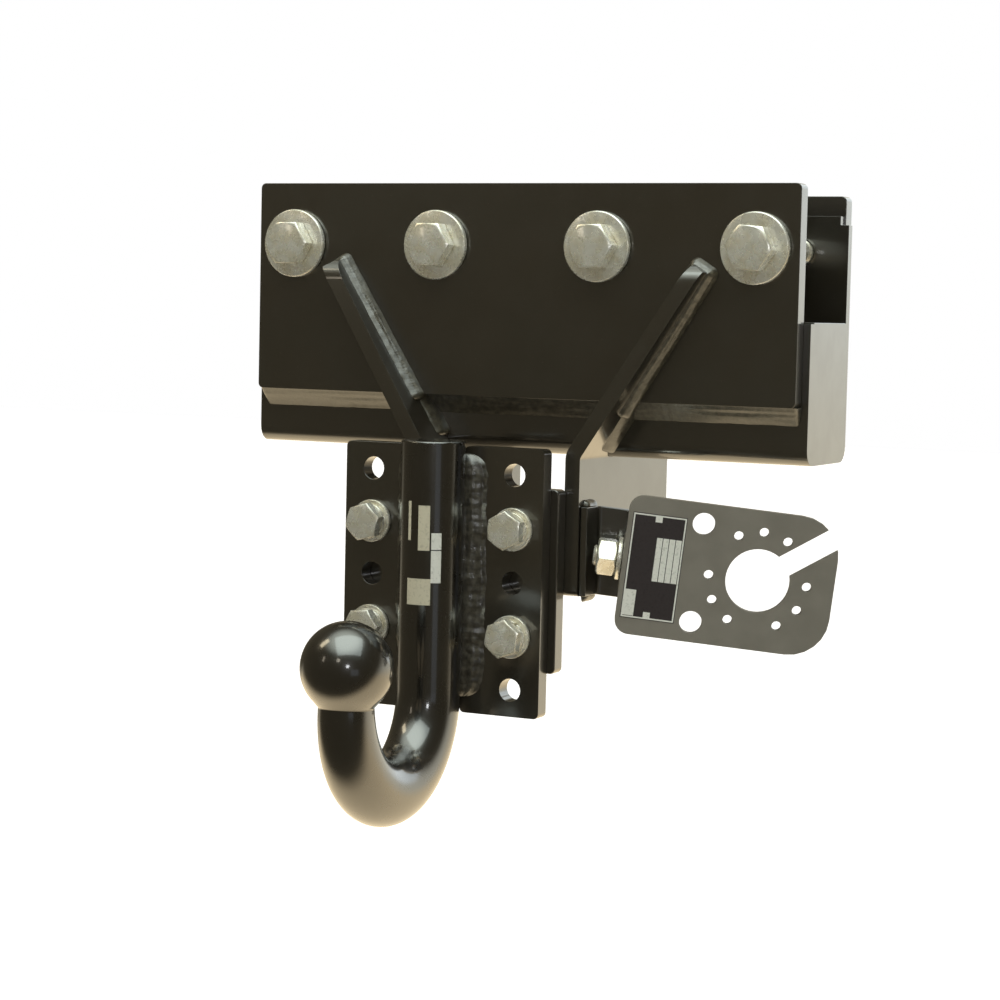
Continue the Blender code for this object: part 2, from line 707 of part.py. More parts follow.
def cable_slot(middle):
    """The slot that lets a cable into the big hole through the plate's upper right corner."""
    along = polar(1, radians(CABLE_SLOT_ANGLE))
    across = Vector((-along.y, along.x)) * CABLE_SLOT / 2
    far = SOCKET_RIGHT + SOCKET_HALF_HEIGHT
    return [middle - across, middle + along * far - across, middle + along * far + across, middle + across]


def socket_ear(front):
    """The ear bent back from the plate's left edge, round about the swivel bolt."""
    half_thick = SOCKET_THICK / 2
    arc = [polar(EAR_RADIUS, -turn) for turn in (pi * step / 12 for step in range(13))]
    root = front - SOCKET_THICK / 2
    points = [Vector((EAR_HALF_ROOT, root)), *arc, Vector((-EAR_HALF_ROOT, root))]
    plane = SWIVEL @ ACROSS
    ear = prism("socket_ear", points, plane, -half_thick, half_thick)
    hole = circle((0, 0), M12["shank"] + HOLE_CLEARANCE)
    pierce(ear, [hole], plane, -SOCKET_THICK, SOCKET_THICK)
    return ear


def socket_arm(paint):
    """The bracket: a strap welded to the side plate, bent twice, that holds the swivel bolt."""
    along, up, out = (SWIVEL.to_3x3().col[axis].copy() for axis in range(3))
    pivot = SWIVEL.translation
    back = pivot - out * (ARM_SETBACK + ARM_THICK / 2)
    side_x = GUSSET_OUTSIDE + SEAT + ARM_THICK / 2
    first = back + along * ((side_x - back.x) / along.x)
    second = back + along * (SOCKET_THICK / 2 + SEAT + ARM_THICK / 2)
    start = Vector((side_x, ARM_INSET - SIDE_STAND, first.z))
    upright = Vector((0, 0, 1))
    rings = [strap_ring(start, Vector((0, 1, 0)), upright, ARM_HEIGHT / 2)]
    rings += strap_bend(start, first, second, upright)
    eye = pivot + along * (second - back).dot(along)
    rings += strap_bend(first, second, eye, up)
    rings += strap_end(eye, out, up)
    arm = loft("socket_arm", rings, paint)
    pierce(arm, [circle((0, 0), M12["shank"] + HOLE_CLEARANCE)], SWIVEL @ ACROSS, 0, ARM_THICK * 2)
    return first.z


def strap_ring(middle, ahead, up, half_height):
    """A strap's section: half_height up and down, and half its thickness to each side."""
    across = ahead.cross(up).normalized() * ARM_THICK / 2
    rise = up.normalized() * half_height
    return [middle - across - rise, middle + across - rise, middle + across + rise, middle - across + rise]


def strap_bend(before, corner, after, up):
    """Sections round a bend of the strap."""
    ahead_in = (corner - before).normalized()
    ahead_out = (after - corner).normalized()
    turn = ahead_in.angle(ahead_out)
    reach = ARM_BEND * tan(turn / 2)
    centre = corner + (ahead_out - ahead_in).normalized() * ARM_BEND / cos(turn / 2)
    axis = ahead_in.cross(ahead_out).normalized()
    arm = corner - ahead_in * reach - centre
    steps = 5
    rings = []
    for step in range(steps + 1):
        spin = Matrix.Rotation(turn * step / steps, 3, axis)
        rings.append(strap_ring(centre + spin @ arm, spin @ ahead_in, up, ARM_HEIGHT / 2))
    return rings


def strap_end(eye, out, up):
    """The strap narrows in straight lines to a round end about the swivel bolt."""
    root = ARM_SETBACK + ARM_THICK / 2 - ARM_BEND
    distance = sqrt(root**2 + (ARM_HEIGHT / 2) ** 2)
    first = acos(ARM_END / distance) - atan2(root, ARM_HEIGHT / 2)
    rings = []
    steps = 7
    for step in range(steps + 1):
        angle = first + (radians(84) - first) * step / steps
        rings.append(strap_ring(eye + out * ARM_END * sin(angle), out, up, ARM_END * cos(angle)))
    return rings


def socket_fasteners(paint):
    """The swivel's bolt runs along -x: its head is behind the plate and its nut is at the left."""
    leftward = SWIVEL @ Matrix.Rotation(-pi / 2, 4, "Y")

    def at(x):
        return leftward @ Matrix.Translation((0, 0, -x))

    arm_right = SOCKET_THICK / 2 + SEAT + ARM_THICK
    seat = arm_right + 2 * SEAT + SMALL_WASHER[1]
    nut_washer = -SOCKET_THICK / 2 - SEAT
    nut = nut_washer - SMALL_WASHER[1] - SEAT
    length = seat - nut + M12["nut"] + TIP / 2
    bolt_mesh("socket_bolt", M12, length, paint).matrix_world = at(seat)
    washers = ["socket_washer_head", "socket_washer_nut"]
    repeat(washer_mesh, washers, [at(seat - SEAT), at(nut_washer)], M12, SMALL_WASHER, paint)
    nut_mesh("socket_nut", M12, paint).matrix_world = at(nut)


# Welds


def frame_weld(paint):
    """The bead under the front plate and the fillets round both ribs, which run into each other."""
    half = PLATE_WIDTH / 2
    seam = fillet_outline((0, PLATE_BOTTOM - SEAT), -SEAM_LEG, -SEAM_LEG)
    weld = prism("frame_weld", seam, ACROSS, -half, half, paint)
    for side, end in ((-1, "left"), (1, "right")):
        shape(weld, "UNION", plate_fillet(f"plate_fillet_{end}", side))
        shape(weld, "UNION", channel_fillet(f"channel_fillet_{end}", side))
    for side, end in ((-1, "left"), (1, "right")):
        shape(weld, "DIFFERENCE", gusset_solid(f"gusset_room_{end}", side, SEAT))


def rib_band(side, y, grow, low, high=None):
    """The rib's front outline at a depth, grown all round, from a low edge to its top end or a high edge."""
    reach = GUSSET_THICK + grow

    def at_height(outward, z):
        return rib_point(side, (z - FOLD_Z + outward * sin(GUSSET_LEAN)) / cos(GUSSET_LEAN), outward)

    if high is None:
        tops = [rib_point(side, RIB_LENGTH + grow, -grow), rib_point(side, RIB_LENGTH + grow, reach)]
        radius = grow
    else:
        tops = [at_height(-grow, high), at_height(reach, high)]
        radius = 0
    points = outline(
        (*at_height(reach, low), 0), (*at_height(-grow, low), 0), (*tops[0], radius), (*tops[1], radius)
    )
    return [Vector((point.x, y, point.y)) for point in points]


def plate_fillet(name, side):
    near = -PLATE_THICK - SEAT
    low = PLATE_BOTTOM - RIB_WELD_LIP
    rings = [
        rib_band(side, near, RIB_WELD, low),
        rib_band(side, near - RIB_WELD * SHOULDER_OUT, RIB_WELD * SHOULDER_WIDE, low),
        rib_band(side, near - RIB_WELD, 2 * SEAT, low),
    ]
    return loft(name, rings)


def channel_fillet(name, side):
    low = CHANNEL_BOTTOM + CHANNEL_BEND / 2
    high = PLATE_BOTTOM - SEAT
    rings = [
        rib_band(side, 0, RIB_WELD, low, high),
        rib_band(side, -RIB_WELD_CAP * SHOULDER_OUT, RIB_WELD * SHOULDER_WIDE, low, high),
        rib_band(side, -RIB_WELD_CAP, 2 * SEAT, low, high),
    ]
    return loft(name, rings)


def neck_weld(name, side, paint):
    """The long fillet between the bar and one flange."""
    plane = FLANGE_FRONT - SEAT
    radius = BAR_RADIUS + SEAT
    bottom = -(BAR_Y - plane) / radius
    first, last = asin(bottom), -NECK_WELD_ANGLE
    middle = Vector((NECK_OFFSET, BAR_Y))
    arc = [polar(radius, first + (last - first) * step / ARC_STEPS) for step in range(ARC_STEPS + 1)]
    toe = Vector((NECK_WELD_REACH, plane - BAR_Y))
    crown = (arc[-1] + toe) / 2 + Vector((1, -1)) * NECK_WELD_CROWN
    points = [middle + Vector((side * point.x, point.y)) for point in [*arc, crown, toe]]
    top = FLANGE_TOP - NECK_WELD_INSET
    bottom = FLANGE_TOP - FLANGE_HEIGHT + NECK_WELD_INSET
    prism(name, points, LEVEL, bottom, top, paint)


def receiver_weld(name, side, paint):
    """The fillet behind the receiver plate, along one side plate's inner face."""
    corner = (side * (GUSSET_INSIDE - SEAT), RECEIVER_BACK + SEAT)
    section = fillet_outline(corner, -side * RECEIVER_WELD, RECEIVER_WELD)
    bottom = SIDE_BOTTOM + RECEIVER_WELD_INSET
    prism(name, section, LEVEL, bottom, RECEIVER_TOP - RECEIVER_WELD_INSET, paint)


def arm_weld(name, edge, upward, paint):
    """The fillet along the bracket's upper or lower edge, on the side plate."""
    corner = (GUSSET_OUTSIDE + SEAT, edge + upward * SEAT)
    section = fillet_outline(corner, ARM_WELD, upward * ARM_WELD)
    front = ARM_INSET - SIDE_STAND + ARM_WELD
    prism(name, section, FACING, front, front + ARM_WELD_LENGTH, paint)


def main():
    for leftover in list(bpy.data.objects):
        bpy.data.objects.remove(leftover)
    black, satin, bright, weld = black_paint(), satin_paint(), zinc(), painted_weld()
    front_plate(black)
    channel(black)
    end_caps(black)
    rear_plate(black)
    gusset_solid("gusset_left", -1, 0, black)
    gusset_solid("gusset_right", 1, 0, black)
    frame_weld(weld)
    receiver_plate(black)
    receiver_weld("receiver_weld_left", -1, weld)
    receiver_weld("receiver_weld_right", 1, weld)
    flange("flange_left", -1, black)
    flange("flange_right", 1, black)
    swan_neck(black)
    neck_weld("neck_weld_left", -1, weld)
    neck_weld("neck_weld_right", 1, weld)
    clamp_fasteners(bright)
    neck_fasteners(bright)
    arm_z = socket_arm(black)
    arm_weld("arm_weld_top", arm_z + ARM_HEIGHT / 2, 1, weld)
    arm_weld("arm_weld_bottom", arm_z - ARM_HEIGHT / 2, -1, weld)
    socket_plate(satin)
    socket_fasteners(bright)


main()
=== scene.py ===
# %% [markdown]
# # An adjustable tow hitch
# The hitch clamps round a vehicle's crossmember with four long bolts. Two bent gussets carry a
# slotted receiver, a forged swan neck bolts to it, and a swivelling plate holds the trailer socket.
# The CAD model already fixes every size. This lesson dresses it: edges are eased, the neck is
# forged as one skin, fasteners are turned and threaded, welds are laid, and each finish is made.

# %% Load the frame
import json
from math import asin, cos, degrees, pi, radians, sin, sqrt, tan, tau

import bmesh
import bpy
from mathutils import Euler, Matrix, Vector, noise

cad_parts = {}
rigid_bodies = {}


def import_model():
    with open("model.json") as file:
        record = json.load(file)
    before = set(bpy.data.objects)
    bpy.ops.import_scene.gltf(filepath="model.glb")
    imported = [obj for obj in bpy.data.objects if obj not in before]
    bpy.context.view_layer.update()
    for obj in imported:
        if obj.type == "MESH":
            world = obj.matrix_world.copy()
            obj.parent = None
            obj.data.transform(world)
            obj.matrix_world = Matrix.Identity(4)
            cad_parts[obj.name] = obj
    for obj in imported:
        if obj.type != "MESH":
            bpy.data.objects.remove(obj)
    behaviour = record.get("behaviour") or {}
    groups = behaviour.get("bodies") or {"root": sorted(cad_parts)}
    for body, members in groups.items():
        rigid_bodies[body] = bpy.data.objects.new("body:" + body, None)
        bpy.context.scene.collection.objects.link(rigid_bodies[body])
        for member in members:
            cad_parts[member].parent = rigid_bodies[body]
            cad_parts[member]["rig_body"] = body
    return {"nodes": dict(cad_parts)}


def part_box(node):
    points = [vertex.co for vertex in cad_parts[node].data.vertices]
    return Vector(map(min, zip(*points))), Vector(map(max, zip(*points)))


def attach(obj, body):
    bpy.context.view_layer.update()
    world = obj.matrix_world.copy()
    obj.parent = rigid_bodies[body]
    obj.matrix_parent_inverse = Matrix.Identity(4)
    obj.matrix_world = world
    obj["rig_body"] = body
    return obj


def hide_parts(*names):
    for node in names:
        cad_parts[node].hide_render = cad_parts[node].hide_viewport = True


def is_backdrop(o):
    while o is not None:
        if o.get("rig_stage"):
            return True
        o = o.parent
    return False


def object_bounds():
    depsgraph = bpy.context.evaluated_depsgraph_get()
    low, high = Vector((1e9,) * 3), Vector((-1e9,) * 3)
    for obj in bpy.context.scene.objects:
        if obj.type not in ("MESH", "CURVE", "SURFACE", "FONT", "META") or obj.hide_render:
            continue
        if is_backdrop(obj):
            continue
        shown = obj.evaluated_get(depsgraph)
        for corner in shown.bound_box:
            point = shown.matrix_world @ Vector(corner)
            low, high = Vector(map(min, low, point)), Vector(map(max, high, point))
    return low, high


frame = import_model()
cad_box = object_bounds()
nodes = frame["nodes"]

# %% [markdown]
# ## The camera
# The photograph was taken from the right of straight behind, a little above the hitch, with a
# portrait lens. A camera fitted to the plates' edges gives the place and angles below. The matrix is
# built from the three directions, because a small roll is easier to state that way.

# %% Camera
CAMERA_PLACE = Vector((0.633591, -1.326524, -0.036655))
YAW, PITCH, ROLL = radians(25.9394), radians(4.25584), radians(1.33253)
LENS_MM, SENSOR_MM = 91.95, 36

ahead = Vector((-sin(YAW) * cos(PITCH), cos(YAW) * cos(PITCH), -sin(PITCH)))
level = Vector((cos(YAW), sin(YAW), 0))
upright = level.cross(ahead)
right = cos(ROLL) * level + sin(ROLL) * upright
above = cos(ROLL) * upright - sin(ROLL) * level
bpy.ops.object.camera_add()
camera = bpy.context.object
camera.name = "photo_camera"
camera.data.lens, camera.data.sensor_width = LENS_MM, SENSOR_MM
facing = Matrix((right, above, -ahead)).transposed().to_4x4()
camera.matrix_world = Matrix.Translation(CAMERA_PLACE) @ facing
bpy.context.scene.camera = camera
print("camera stands", round(CAMERA_PLACE.length, 3), "m from the bolt line")

# %% [markdown]
# ## Working by hand, in code
# Blender's operators act on whatever is selected. So each step first opens one piece alone, and
# then picks faces or edges by where they are. These helpers do just that.

# %% Opening and picking
def alone(piece, mode="OBJECT"):
    """Selects one piece and nothing else, and opens it in a mode."""
    if bpy.context.mode != "OBJECT":
        bpy.ops.object.mode_set(mode="OBJECT")
    bpy.ops.object.select_all(action="DESELECT")
    piece.select_set(True)
    bpy.context.view_layer.objects.active = piece
    if mode == "EDIT":
        bpy.ops.object.mode_set(mode="EDIT")
        bpy.ops.mesh.select_all(action="SELECT")


def pick(piece, kind, test):
    """In edit mode, selects only the vertices, edges or faces that pass a test."""
    bpy.ops.mesh.select_all(action="DESELECT")
    bpy.ops.mesh.select_mode(type=kind)
    data = bmesh.from_edit_mesh(piece.data)
    parts = {"VERT": data.verts, "EDGE": data.edges, "FACE": data.faces}[kind]
    for part in parts:
        part.select_set(test(part))
    bmesh.update_edit_mesh(piece.data)


def middle(part):
    return sum((corner.co for corner in part.verts), Vector()) / len(part.verts)


def work(piece, kind, **settings):
    """Adds a modifier and applies it."""
    alone(piece)
    modifier = piece.modifiers.new(kind.lower(), kind)
    for name, value in settings.items():
        setattr(modifier, name, value)
    bpy.ops.object.modifier_apply(modifier=modifier.name)


def smooth(piece, angle=35, weighted=True):
    """Shades round faces smooth and keeps flat faces flat up to their eased edges."""
    alone(piece)
    bpy.ops.object.shade_smooth_by_angle(angle=radians(angle))
    if weighted:
        work(piece, "WEIGHTED_NORMAL", weight=100, keep_sharp=True)


def fit(piece, finish, slot, *stands_for, body=None):
    """Gives a finished piece its material, its body and the CAD nodes that it stands for."""
    piece.data.materials.clear()
    piece.data.materials.append(finish)
    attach(piece, body or nodes[stands_for[0]]["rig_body"])
    if stands_for:
        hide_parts(*stands_for)
    return piece


def count(label, *pieces):
    faces = sum(len(face.vertices) - 2 for piece in pieces for face in piece.data.polygons)
    print(f"{label}: {len(pieces)} pieces, {faces} triangles")


# %% [markdown]
# ## The studio
# The hitch hangs in front of a white sweep, so everything behind it and under it is white, and the
# room on the camera's side is dim. That contrast is what draws black gloss paint: faces that look
# at the room go dark, faces that look past it go pale. The sky's colour follows that direction,
# and the camera itself always sees white. The ball is nearly a mirror, so the zones of the room
# and the lamps were read from its reflections.

# %% Shader nodes
def add(tree, kind, inputs=None, **settings):
    """Adds a shader node. Each input takes a value, or is joined to another node's socket."""
    made = tree.nodes.new("ShaderNode" + kind)
    for name, value in settings.items():
        setattr(made, name, value)
    for name, value in (inputs or {}).items():
        if isinstance(value, bpy.types.NodeSocket):
            tree.links.new(value, made.inputs[name])
        else:
            made.inputs[name].default_value = value
    return made


def ramp(tree, value, low, high, first, last, style="SMOOTHSTEP"):
    """Carries a value from the range low to high over to the range first to last."""
    names = ("From Min", "From Max", "To Min", "To Max")
    inputs = dict(zip(names, (low, high, first, last)))
    return add(tree, "MapRange", {"Value": value, **inputs}, interpolation_type=style).outputs["Result"]


def blend(tree, share, first, last):
    """Mixes two colours by a share."""
    made = add(tree, "Mix", {"Factor": share}, data_type="RGBA")
    for socket, colour in ((made.inputs[6], first), (made.inputs[7], last)):
        if isinstance(colour, bpy.types.NodeSocket):
            tree.links.new(colour, socket)
        else:
            socket.default_value = (*colour, 1)
    return made.outputs[2]


# %% Directions round the hitch
toward = Vector((-ahead.x, -ahead.y, 0)).normalized()


def way_to(swing, tilt):
    """A direction seen from the hitch: swung to the camera's right, and tilted above the ground."""
    swing, tilt = radians(swing), radians(tilt)
    return (level * sin(swing) + toward * cos(swing)) * cos(tilt) + Vector((0, 0, sin(tilt)))


def near(tree, direction, way, wide, narrow):
    """How near a direction lies to a way: 0 past the wide angle, 1 within the narrow one."""
    closeness = add(tree, "VectorMath", {0: direction, 1: way}, operation="DOT_PRODUCT").outputs["Value"]
    return ramp(tree, closeness, cos(radians(wide)), cos(radians(narrow)), 0, 1)


# %% Sweep and sky
ROOM, CEILING, RIGHT_WALL = (0.098, 0.083, 0.054), (1.5, 1.6, 1.4), (1.5, 1.6, 1.6)
SWEEP, SWEEP_LOW = (1.12, 1.07, 0.88), (1.38, 1.12, 0.72)
LOW_FULL, LOW_START = -0.30, 0.0
# Each zone: swing and tilt of its middle, the angle from there where it ends, and where it is full.
ZONES = {
    "room": (-26, 42, 123, 98),
    "left_wall": (-152, 30, 48, 34),
    "right_wall": (140, 20, 24, 14),
    "ceiling": (-20, 77, 44, 18),
}

scene = bpy.context.scene
scene.view_settings.view_transform = "Standard"
world = bpy.data.worlds.new("white_sweep")
scene.world = world
world.use_nodes = True
sky = world.node_tree
direction = add(sky, "TexCoord").outputs["Generated"]
height = add(sky, "SeparateXYZ", {0: direction}).outputs["Z"]
sweep = blend(sky, ramp(sky, height, LOW_FULL, LOW_START, 1, 0), SWEEP, SWEEP_LOW)


def zone(name):
    swing, tilt, end, full = ZONES[name]
    return near(sky, direction, way_to(swing, tilt), end, full)


dark = add(sky, "Math", {0: zone("room"), 1: zone("left_wall")}, operation="MAXIMUM").outputs[0]
lit = blend(sky, dark, sweep, ROOM)
lit = blend(sky, zone("right_wall"), lit, RIGHT_WALL)
lit = blend(sky, zone("ceiling"), lit, CEILING)
seen = add(sky, "LightPath").outputs["Is Camera Ray"]
sky.links.new(blend(sky, seen, lit, (1, 1, 1)), sky.nodes["Background"].inputs["Color"])
print("zones of the room:", ", ".join(ZONES))

# %% White floor
FLOOR_HEIGHT, FLOOR_SIZE = -0.9, 30
PAPER, PAPER_ROUGHNESS = (0.9, 0.9, 0.9), 0.9
FLOOR_GLOW, GLOW_COLOUR = 0.72, (1, 0.96, 0.98)

bpy.ops.mesh.primitive_plane_add(size=FLOOR_SIZE, location=(0, 0, FLOOR_HEIGHT))
floor = bpy.context.object
floor.name = "floor"
floor.visible_glossy = False
floor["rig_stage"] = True
paper = bpy.data.materials.new("white_paper")
paper.use_nodes = True
surface = paper.node_tree.nodes["Principled BSDF"]
surface.inputs["Base Color"].default_value = (*PAPER, 1)
surface.inputs["Roughness"].default_value = PAPER_ROUGHNESS
surface.inputs["Emission Color"].default_value = (*GLOW_COLOUR, 1)
glow = add(paper.node_tree, "LightPath").outputs["Is Camera Ray"]
glow = add(paper.node_tree, "Math", {0: glow, 1: FLOOR_GLOW}, operation="MULTIPLY").outputs[0]
paper.node_tree.links.new(glow, surface.inputs["Emission Strength"])
floor.data.materials.append(paper)
print("the floor lies", -FLOOR_HEIGHT, "m below the bolt line")

# %% Lamps
LAMP_AIM = Vector((0, 0, -0.15))
# Each lamp: swing, tilt, distance, width and height of its face, how bright that looks, and colour.
LAMPS = {
    "window": (6, 63, 1.6, (1.75, 1.65), 1.45, (0.88, 1.0, 0.96)),
    "left_lamp": (-88, 43, 1.8, (0.36, 0.55), 3.6, (1.0, 0.86, 0.60)),
    "low_left_lamp": (-58, 18, 1.8, (0.14, 0.30), 1.6, (1.0, 0.88, 0.70)),
    "small_lamp": (-21, 21, 1.8, (0.20, 0.22), 2.6, (1.0, 0.92, 0.76)),
    "camera_lamp": (2, 9, 1.9, (0.20, 0.20), 8, (0.95, 0.97, 1.0)),
    "dim_lamp": (18, -5, 1.9, (0.60, 0.45), 0.22, (0.75, 0.85, 1.0)),
}


def lamp(name, swing, tilt, distance, size, radiance, colour):
    """A soft lamp that faces the hitch. Its power follows from how bright its face should look."""
    way = way_to(swing, tilt)
    bpy.ops.object.light_add(type="AREA", location=LAMP_AIM + way * distance)
    made = bpy.context.object
    made.name = name
    made.rotation_euler = way.to_track_quat("Z", "Y").to_euler()
    made.data.shape = "RECTANGLE"
    made.data.size, made.data.size_y = size
    made.data.energy = radiance * pi * size[0] * size[1]
    made.data.color = colour


for name, settings in LAMPS.items():
    lamp(name, *settings)
print("lamps:", ", ".join(LAMPS))

# %% [markdown]
# ## Black gloss paint
# The frame is dipped and baked: a warm near-black under a hard gloss. Close up it has a faint
# orange peel, duller and brighter patches, and dust that settled on it. Two glossy layers, the
# paint and a coat, give the strong pale reflections at a low angle that the photograph shows.

# %% Black paint
COAT_STEP = 0.1


def new_finish(name, colour, roughness, metallic=0.0, coat=0.0, coat_roughness=0.1, gloss=1.5):
    """A new material. Gloss is the refractive index: the higher, the stronger the reflections."""
    made = bpy.data.materials.new(name)
    made.use_nodes = True
    shader = made.node_tree.nodes["Principled BSDF"]
    shader.inputs["Base Color"].default_value = (*colour, 1)
    shader.inputs["Roughness"].default_value = roughness
    shader.inputs["Metallic"].default_value = metallic
    shader.inputs["Coat Weight"].default_value = coat
    shader.inputs["Coat Roughness"].default_value = coat_roughness
    shader.inputs["IOR"].default_value = gloss
    shader.inputs["Coat IOR"].default_value = gloss + COAT_STEP
    return made, made.node_tree, shader


def noise_of(tree, place, scale, detail=2.0, roughness=0.5):
    inputs = {"Vector": place, "Scale": scale, "Detail": detail, "Roughness": roughness}
    return add(tree, "TexNoise", inputs).outputs["Fac"]


def relief(tree, height, depth, strength=1.0, under=None):
    """A bump from a height, whose full range is as deep as the real unevenness."""
    inputs = {"Height": height, "Distance": depth, "Strength": strength}
    if under is not None:
        inputs["Normal"] = under
    return add(tree, "Bump", inputs).outputs["Normal"]


def specks(tree, place, scale, size):
    """Scattered small specks: the hearts of a fifth of the cells in a cell pattern."""
    cells = add(tree, "TexVoronoi", {"Vector": place, "Scale": scale})
    chosen = add(tree, "SeparateColor", {0: cells.outputs["Color"]}).outputs[0]
    few = ramp(tree, chosen, 0.80, 0.82, 0, 1)
    heart = ramp(tree, cells.outputs["Distance"], size * 0.5, size, 1, 0)
    return add(tree, "Math", {0: few, 1: heart}, operation="MULTIPLY").outputs[0]


# Scales of the paint's patterns, in features per metre, and the dust on it.
BROWN_SCALE, GLOSS_SCALE, PEEL_SCALE, WAVE_SCALE, DUST_SCALE = 14, 60, 650, 90, 330
DUST_SIZE, DUST_COLOUR, WAVE_DEPTH = 0.13, (0.16, 0.145, 0.11), 4


def paint_finish(name, colour, peel, rough, coat, dust):
    """Baked black paint, with orange peel, uneven gloss and settled dust."""
    made, tree, shader = new_finish(name, colour, 0.3, coat=1.0, coat_roughness=coat, gloss=1.8)
    place = add(tree, "TexCoord").outputs["Object"]
    patches = noise_of(tree, place, BROWN_SCALE, 3, 0.5)
    settled = specks(tree, place, DUST_SCALE, DUST_SIZE)
    share = add(tree, "Math", {0: settled, 1: dust}, operation="MULTIPLY").outputs[0]
    warmer = [colour[0] * 1.12, colour[1], colour[2] * 0.9]
    brownish = blend(tree, ramp(tree, patches, 0.3, 0.7, 0, 1), colour, warmer)
    tree.links.new(blend(tree, share, brownish, DUST_COLOUR), shader.inputs["Base Color"])
    gloss = ramp(tree, noise_of(tree, place, GLOSS_SCALE, 3), 0.3, 0.7, *rough)
    tree.links.new(gloss, shader.inputs["Roughness"])
    fine = relief(tree, noise_of(tree, place, PEEL_SCALE, 2), peel)
    waves = relief(tree, noise_of(tree, place, WAVE_SCALE, 2), peel * WAVE_DEPTH, 1.0, fine)
    tree.links.new(waves, shader.inputs["Normal"])
    tree.links.new(fine, shader.inputs["Coat Normal"])
    return made


black_paint = paint_finish(
    "black_gloss_paint", (0.016, 0.0135, 0.009),
    peel=0.000008, rough=(0.28, 0.34), coat=0.10, dust=0.2,
)
forged_paint = paint_finish(
    "black_paint_on_forging", (0.003, 0.0025, 0.0018),
    peel=0.00001, rough=(0.26, 0.32), coat=0.10, dust=0.15,
)

# %% [markdown]
# ## Painted weld, satin coat and zinc
# Weld beads wear the same paint, but their ripples hold it unevenly and look browner. The long
# beads on the neck get a darker copy of the weld paint: painted shade for the corners between the
# bar and its flanges. The socket plate has a thin satin coat.
# Bolts, nuts and washers are zinc plated with a faint yellow passivate, which clouds the metal and
# softens its shine.

# %% Weld finish
def weld_finish(name, thin, thick):
    """Painted weld metal, from where the paint lies thin to where it has pooled."""
    made, tree, shader = new_finish(name, thin, 0.4, coat=0.8, coat_roughness=0.26, gloss=1.7)
    place = add(tree, "TexCoord").outputs["Object"]
    mottle = noise_of(tree, place, 300, 4, 0.55)
    tone = blend(tree, ramp(tree, mottle, 0.35, 0.70, 0, 1), thick, thin)
    tree.links.new(tone, shader.inputs["Base Color"])
    tree.links.new(ramp(tree, mottle, 0.3, 0.7, 0.32, 0.5), shader.inputs["Roughness"])
    tree.links.new(relief(tree, noise_of(tree, place, 1300, 2), 0.00003), shader.inputs["Normal"])
    return made


weld_paint = weld_finish("painted_weld_metal", (0.085, 0.072, 0.046), (0.035, 0.029, 0.017))
# A darker copy of the weld paint: painted shade for the neck's beads in the corners by the bar.
shaded_weld_paint = weld_finish("weld_metal_with_painted_shade", (0.060, 0.052, 0.036), (0.014, 0.0115, 0.0075))

# %% Satin and zinc finishes
SATIN_DARK, SATIN_LIGHT = (0.205, 0.183, 0.158), (0.232, 0.208, 0.180)
ZINC_BRIGHT, ZINC_YELLOW, ZINC_STAIN = (1.0, 0.98, 0.92), (0.90, 0.85, 0.72), (0.52, 0.50, 0.45)


def satin_finish():
    made, tree, shader = new_finish("satin_black_coat", (0.07, 0.066, 0.058), 0.42)
    place = add(tree, "TexCoord").outputs["Object"]
    cloud = noise_of(tree, place, 60, 3)
    tone = blend(tree, ramp(tree, cloud, 0.3, 0.7, 0, 1), SATIN_DARK, SATIN_LIGHT)
    tree.links.new(tone, shader.inputs["Base Color"])
    tree.links.new(ramp(tree, cloud, 0.3, 0.7, 0.38, 0.5), shader.inputs["Roughness"])
    tree.links.new(relief(tree, noise_of(tree, place, 1800, 2), 0.000012), shader.inputs["Normal"])
    return made


def zinc_finish():
    made, tree, shader = new_finish("zinc_plate", (0.8, 0.78, 0.72), 0.28, metallic=0.66)
    place = add(tree, "TexCoord").outputs["Object"]
    cloud = noise_of(tree, place, 130, 3)
    tint = blend(tree, ramp(tree, cloud, 0.35, 0.65, 0, 1), ZINC_BRIGHT, ZINC_YELLOW)
    spots = ramp(tree, noise_of(tree, place, 900, 3), 0.66, 0.74, 0, 0.4)
    tree.links.new(blend(tree, spots, tint, ZINC_STAIN), shader.inputs["Base Color"])
    shine = ramp(tree, noise_of(tree, place, 260, 3), 0.3, 0.7, 0.18, 0.34)
    tree.links.new(shine, shader.inputs["Roughness"])
    tree.links.new(relief(tree, noise_of(tree, place, 1100, 3), 0.00002), shader.inputs["Normal"])
    return made


satin_coat, zinc = satin_finish(), zinc_finish()
finishes = (black_paint, forged_paint, weld_paint, shaded_weld_paint, satin_coat, zinc)
print("finishes:", ", ".join(made.name for made in finishes))

# %% [markdown]
# ## Plates with eased edges
# Plates are cut from sheet and their edges ground a little before painting, so no edge is truly
# sharp. A CAD solid has knife edges, which never catch the light. So each plate is copied, its loose
# triangles are merged back into whole faces, and a small bevel eases its edges.

# %% Ease the plates
def eased(node, finish, slot, width, segments=3):
    """A CAD solid with whole faces and eased edges."""
    piece = bpy.data.objects.new(node + "_eased", nodes[node].data.copy())
    scene.collection.objects.link(piece)
    alone(piece, "EDIT")
    bpy.ops.mesh.customdata_custom_splitnormals_clear()
    bpy.ops.mesh.remove_doubles(threshold=0.000004)
    bpy.ops.mesh.dissolve_limited(angle_limit=radians(0.5))
    work(piece, "BEVEL", width=width, segments=segments, limit_method="ANGLE", angle_limit=radians(29))
    smooth(piece)
    return fit(piece, finish, slot, node)


PLATE_EDGE, GUSSET_EDGE = 0.0009, 0.0010
thick_plates = ["front_plate", "rear_plate", "receiver_plate", "flange_left", "flange_right"]
plates = [eased(name, black_paint, "black_paint", PLATE_EDGE) for name in thick_plates]
bent_plates = ["gusset_left", "gusset_right"]
gussets = [eased(name, black_paint, "black_paint", GUSSET_EDGE) for name in bent_plates]
count("plates and gussets", *plates, *gussets)

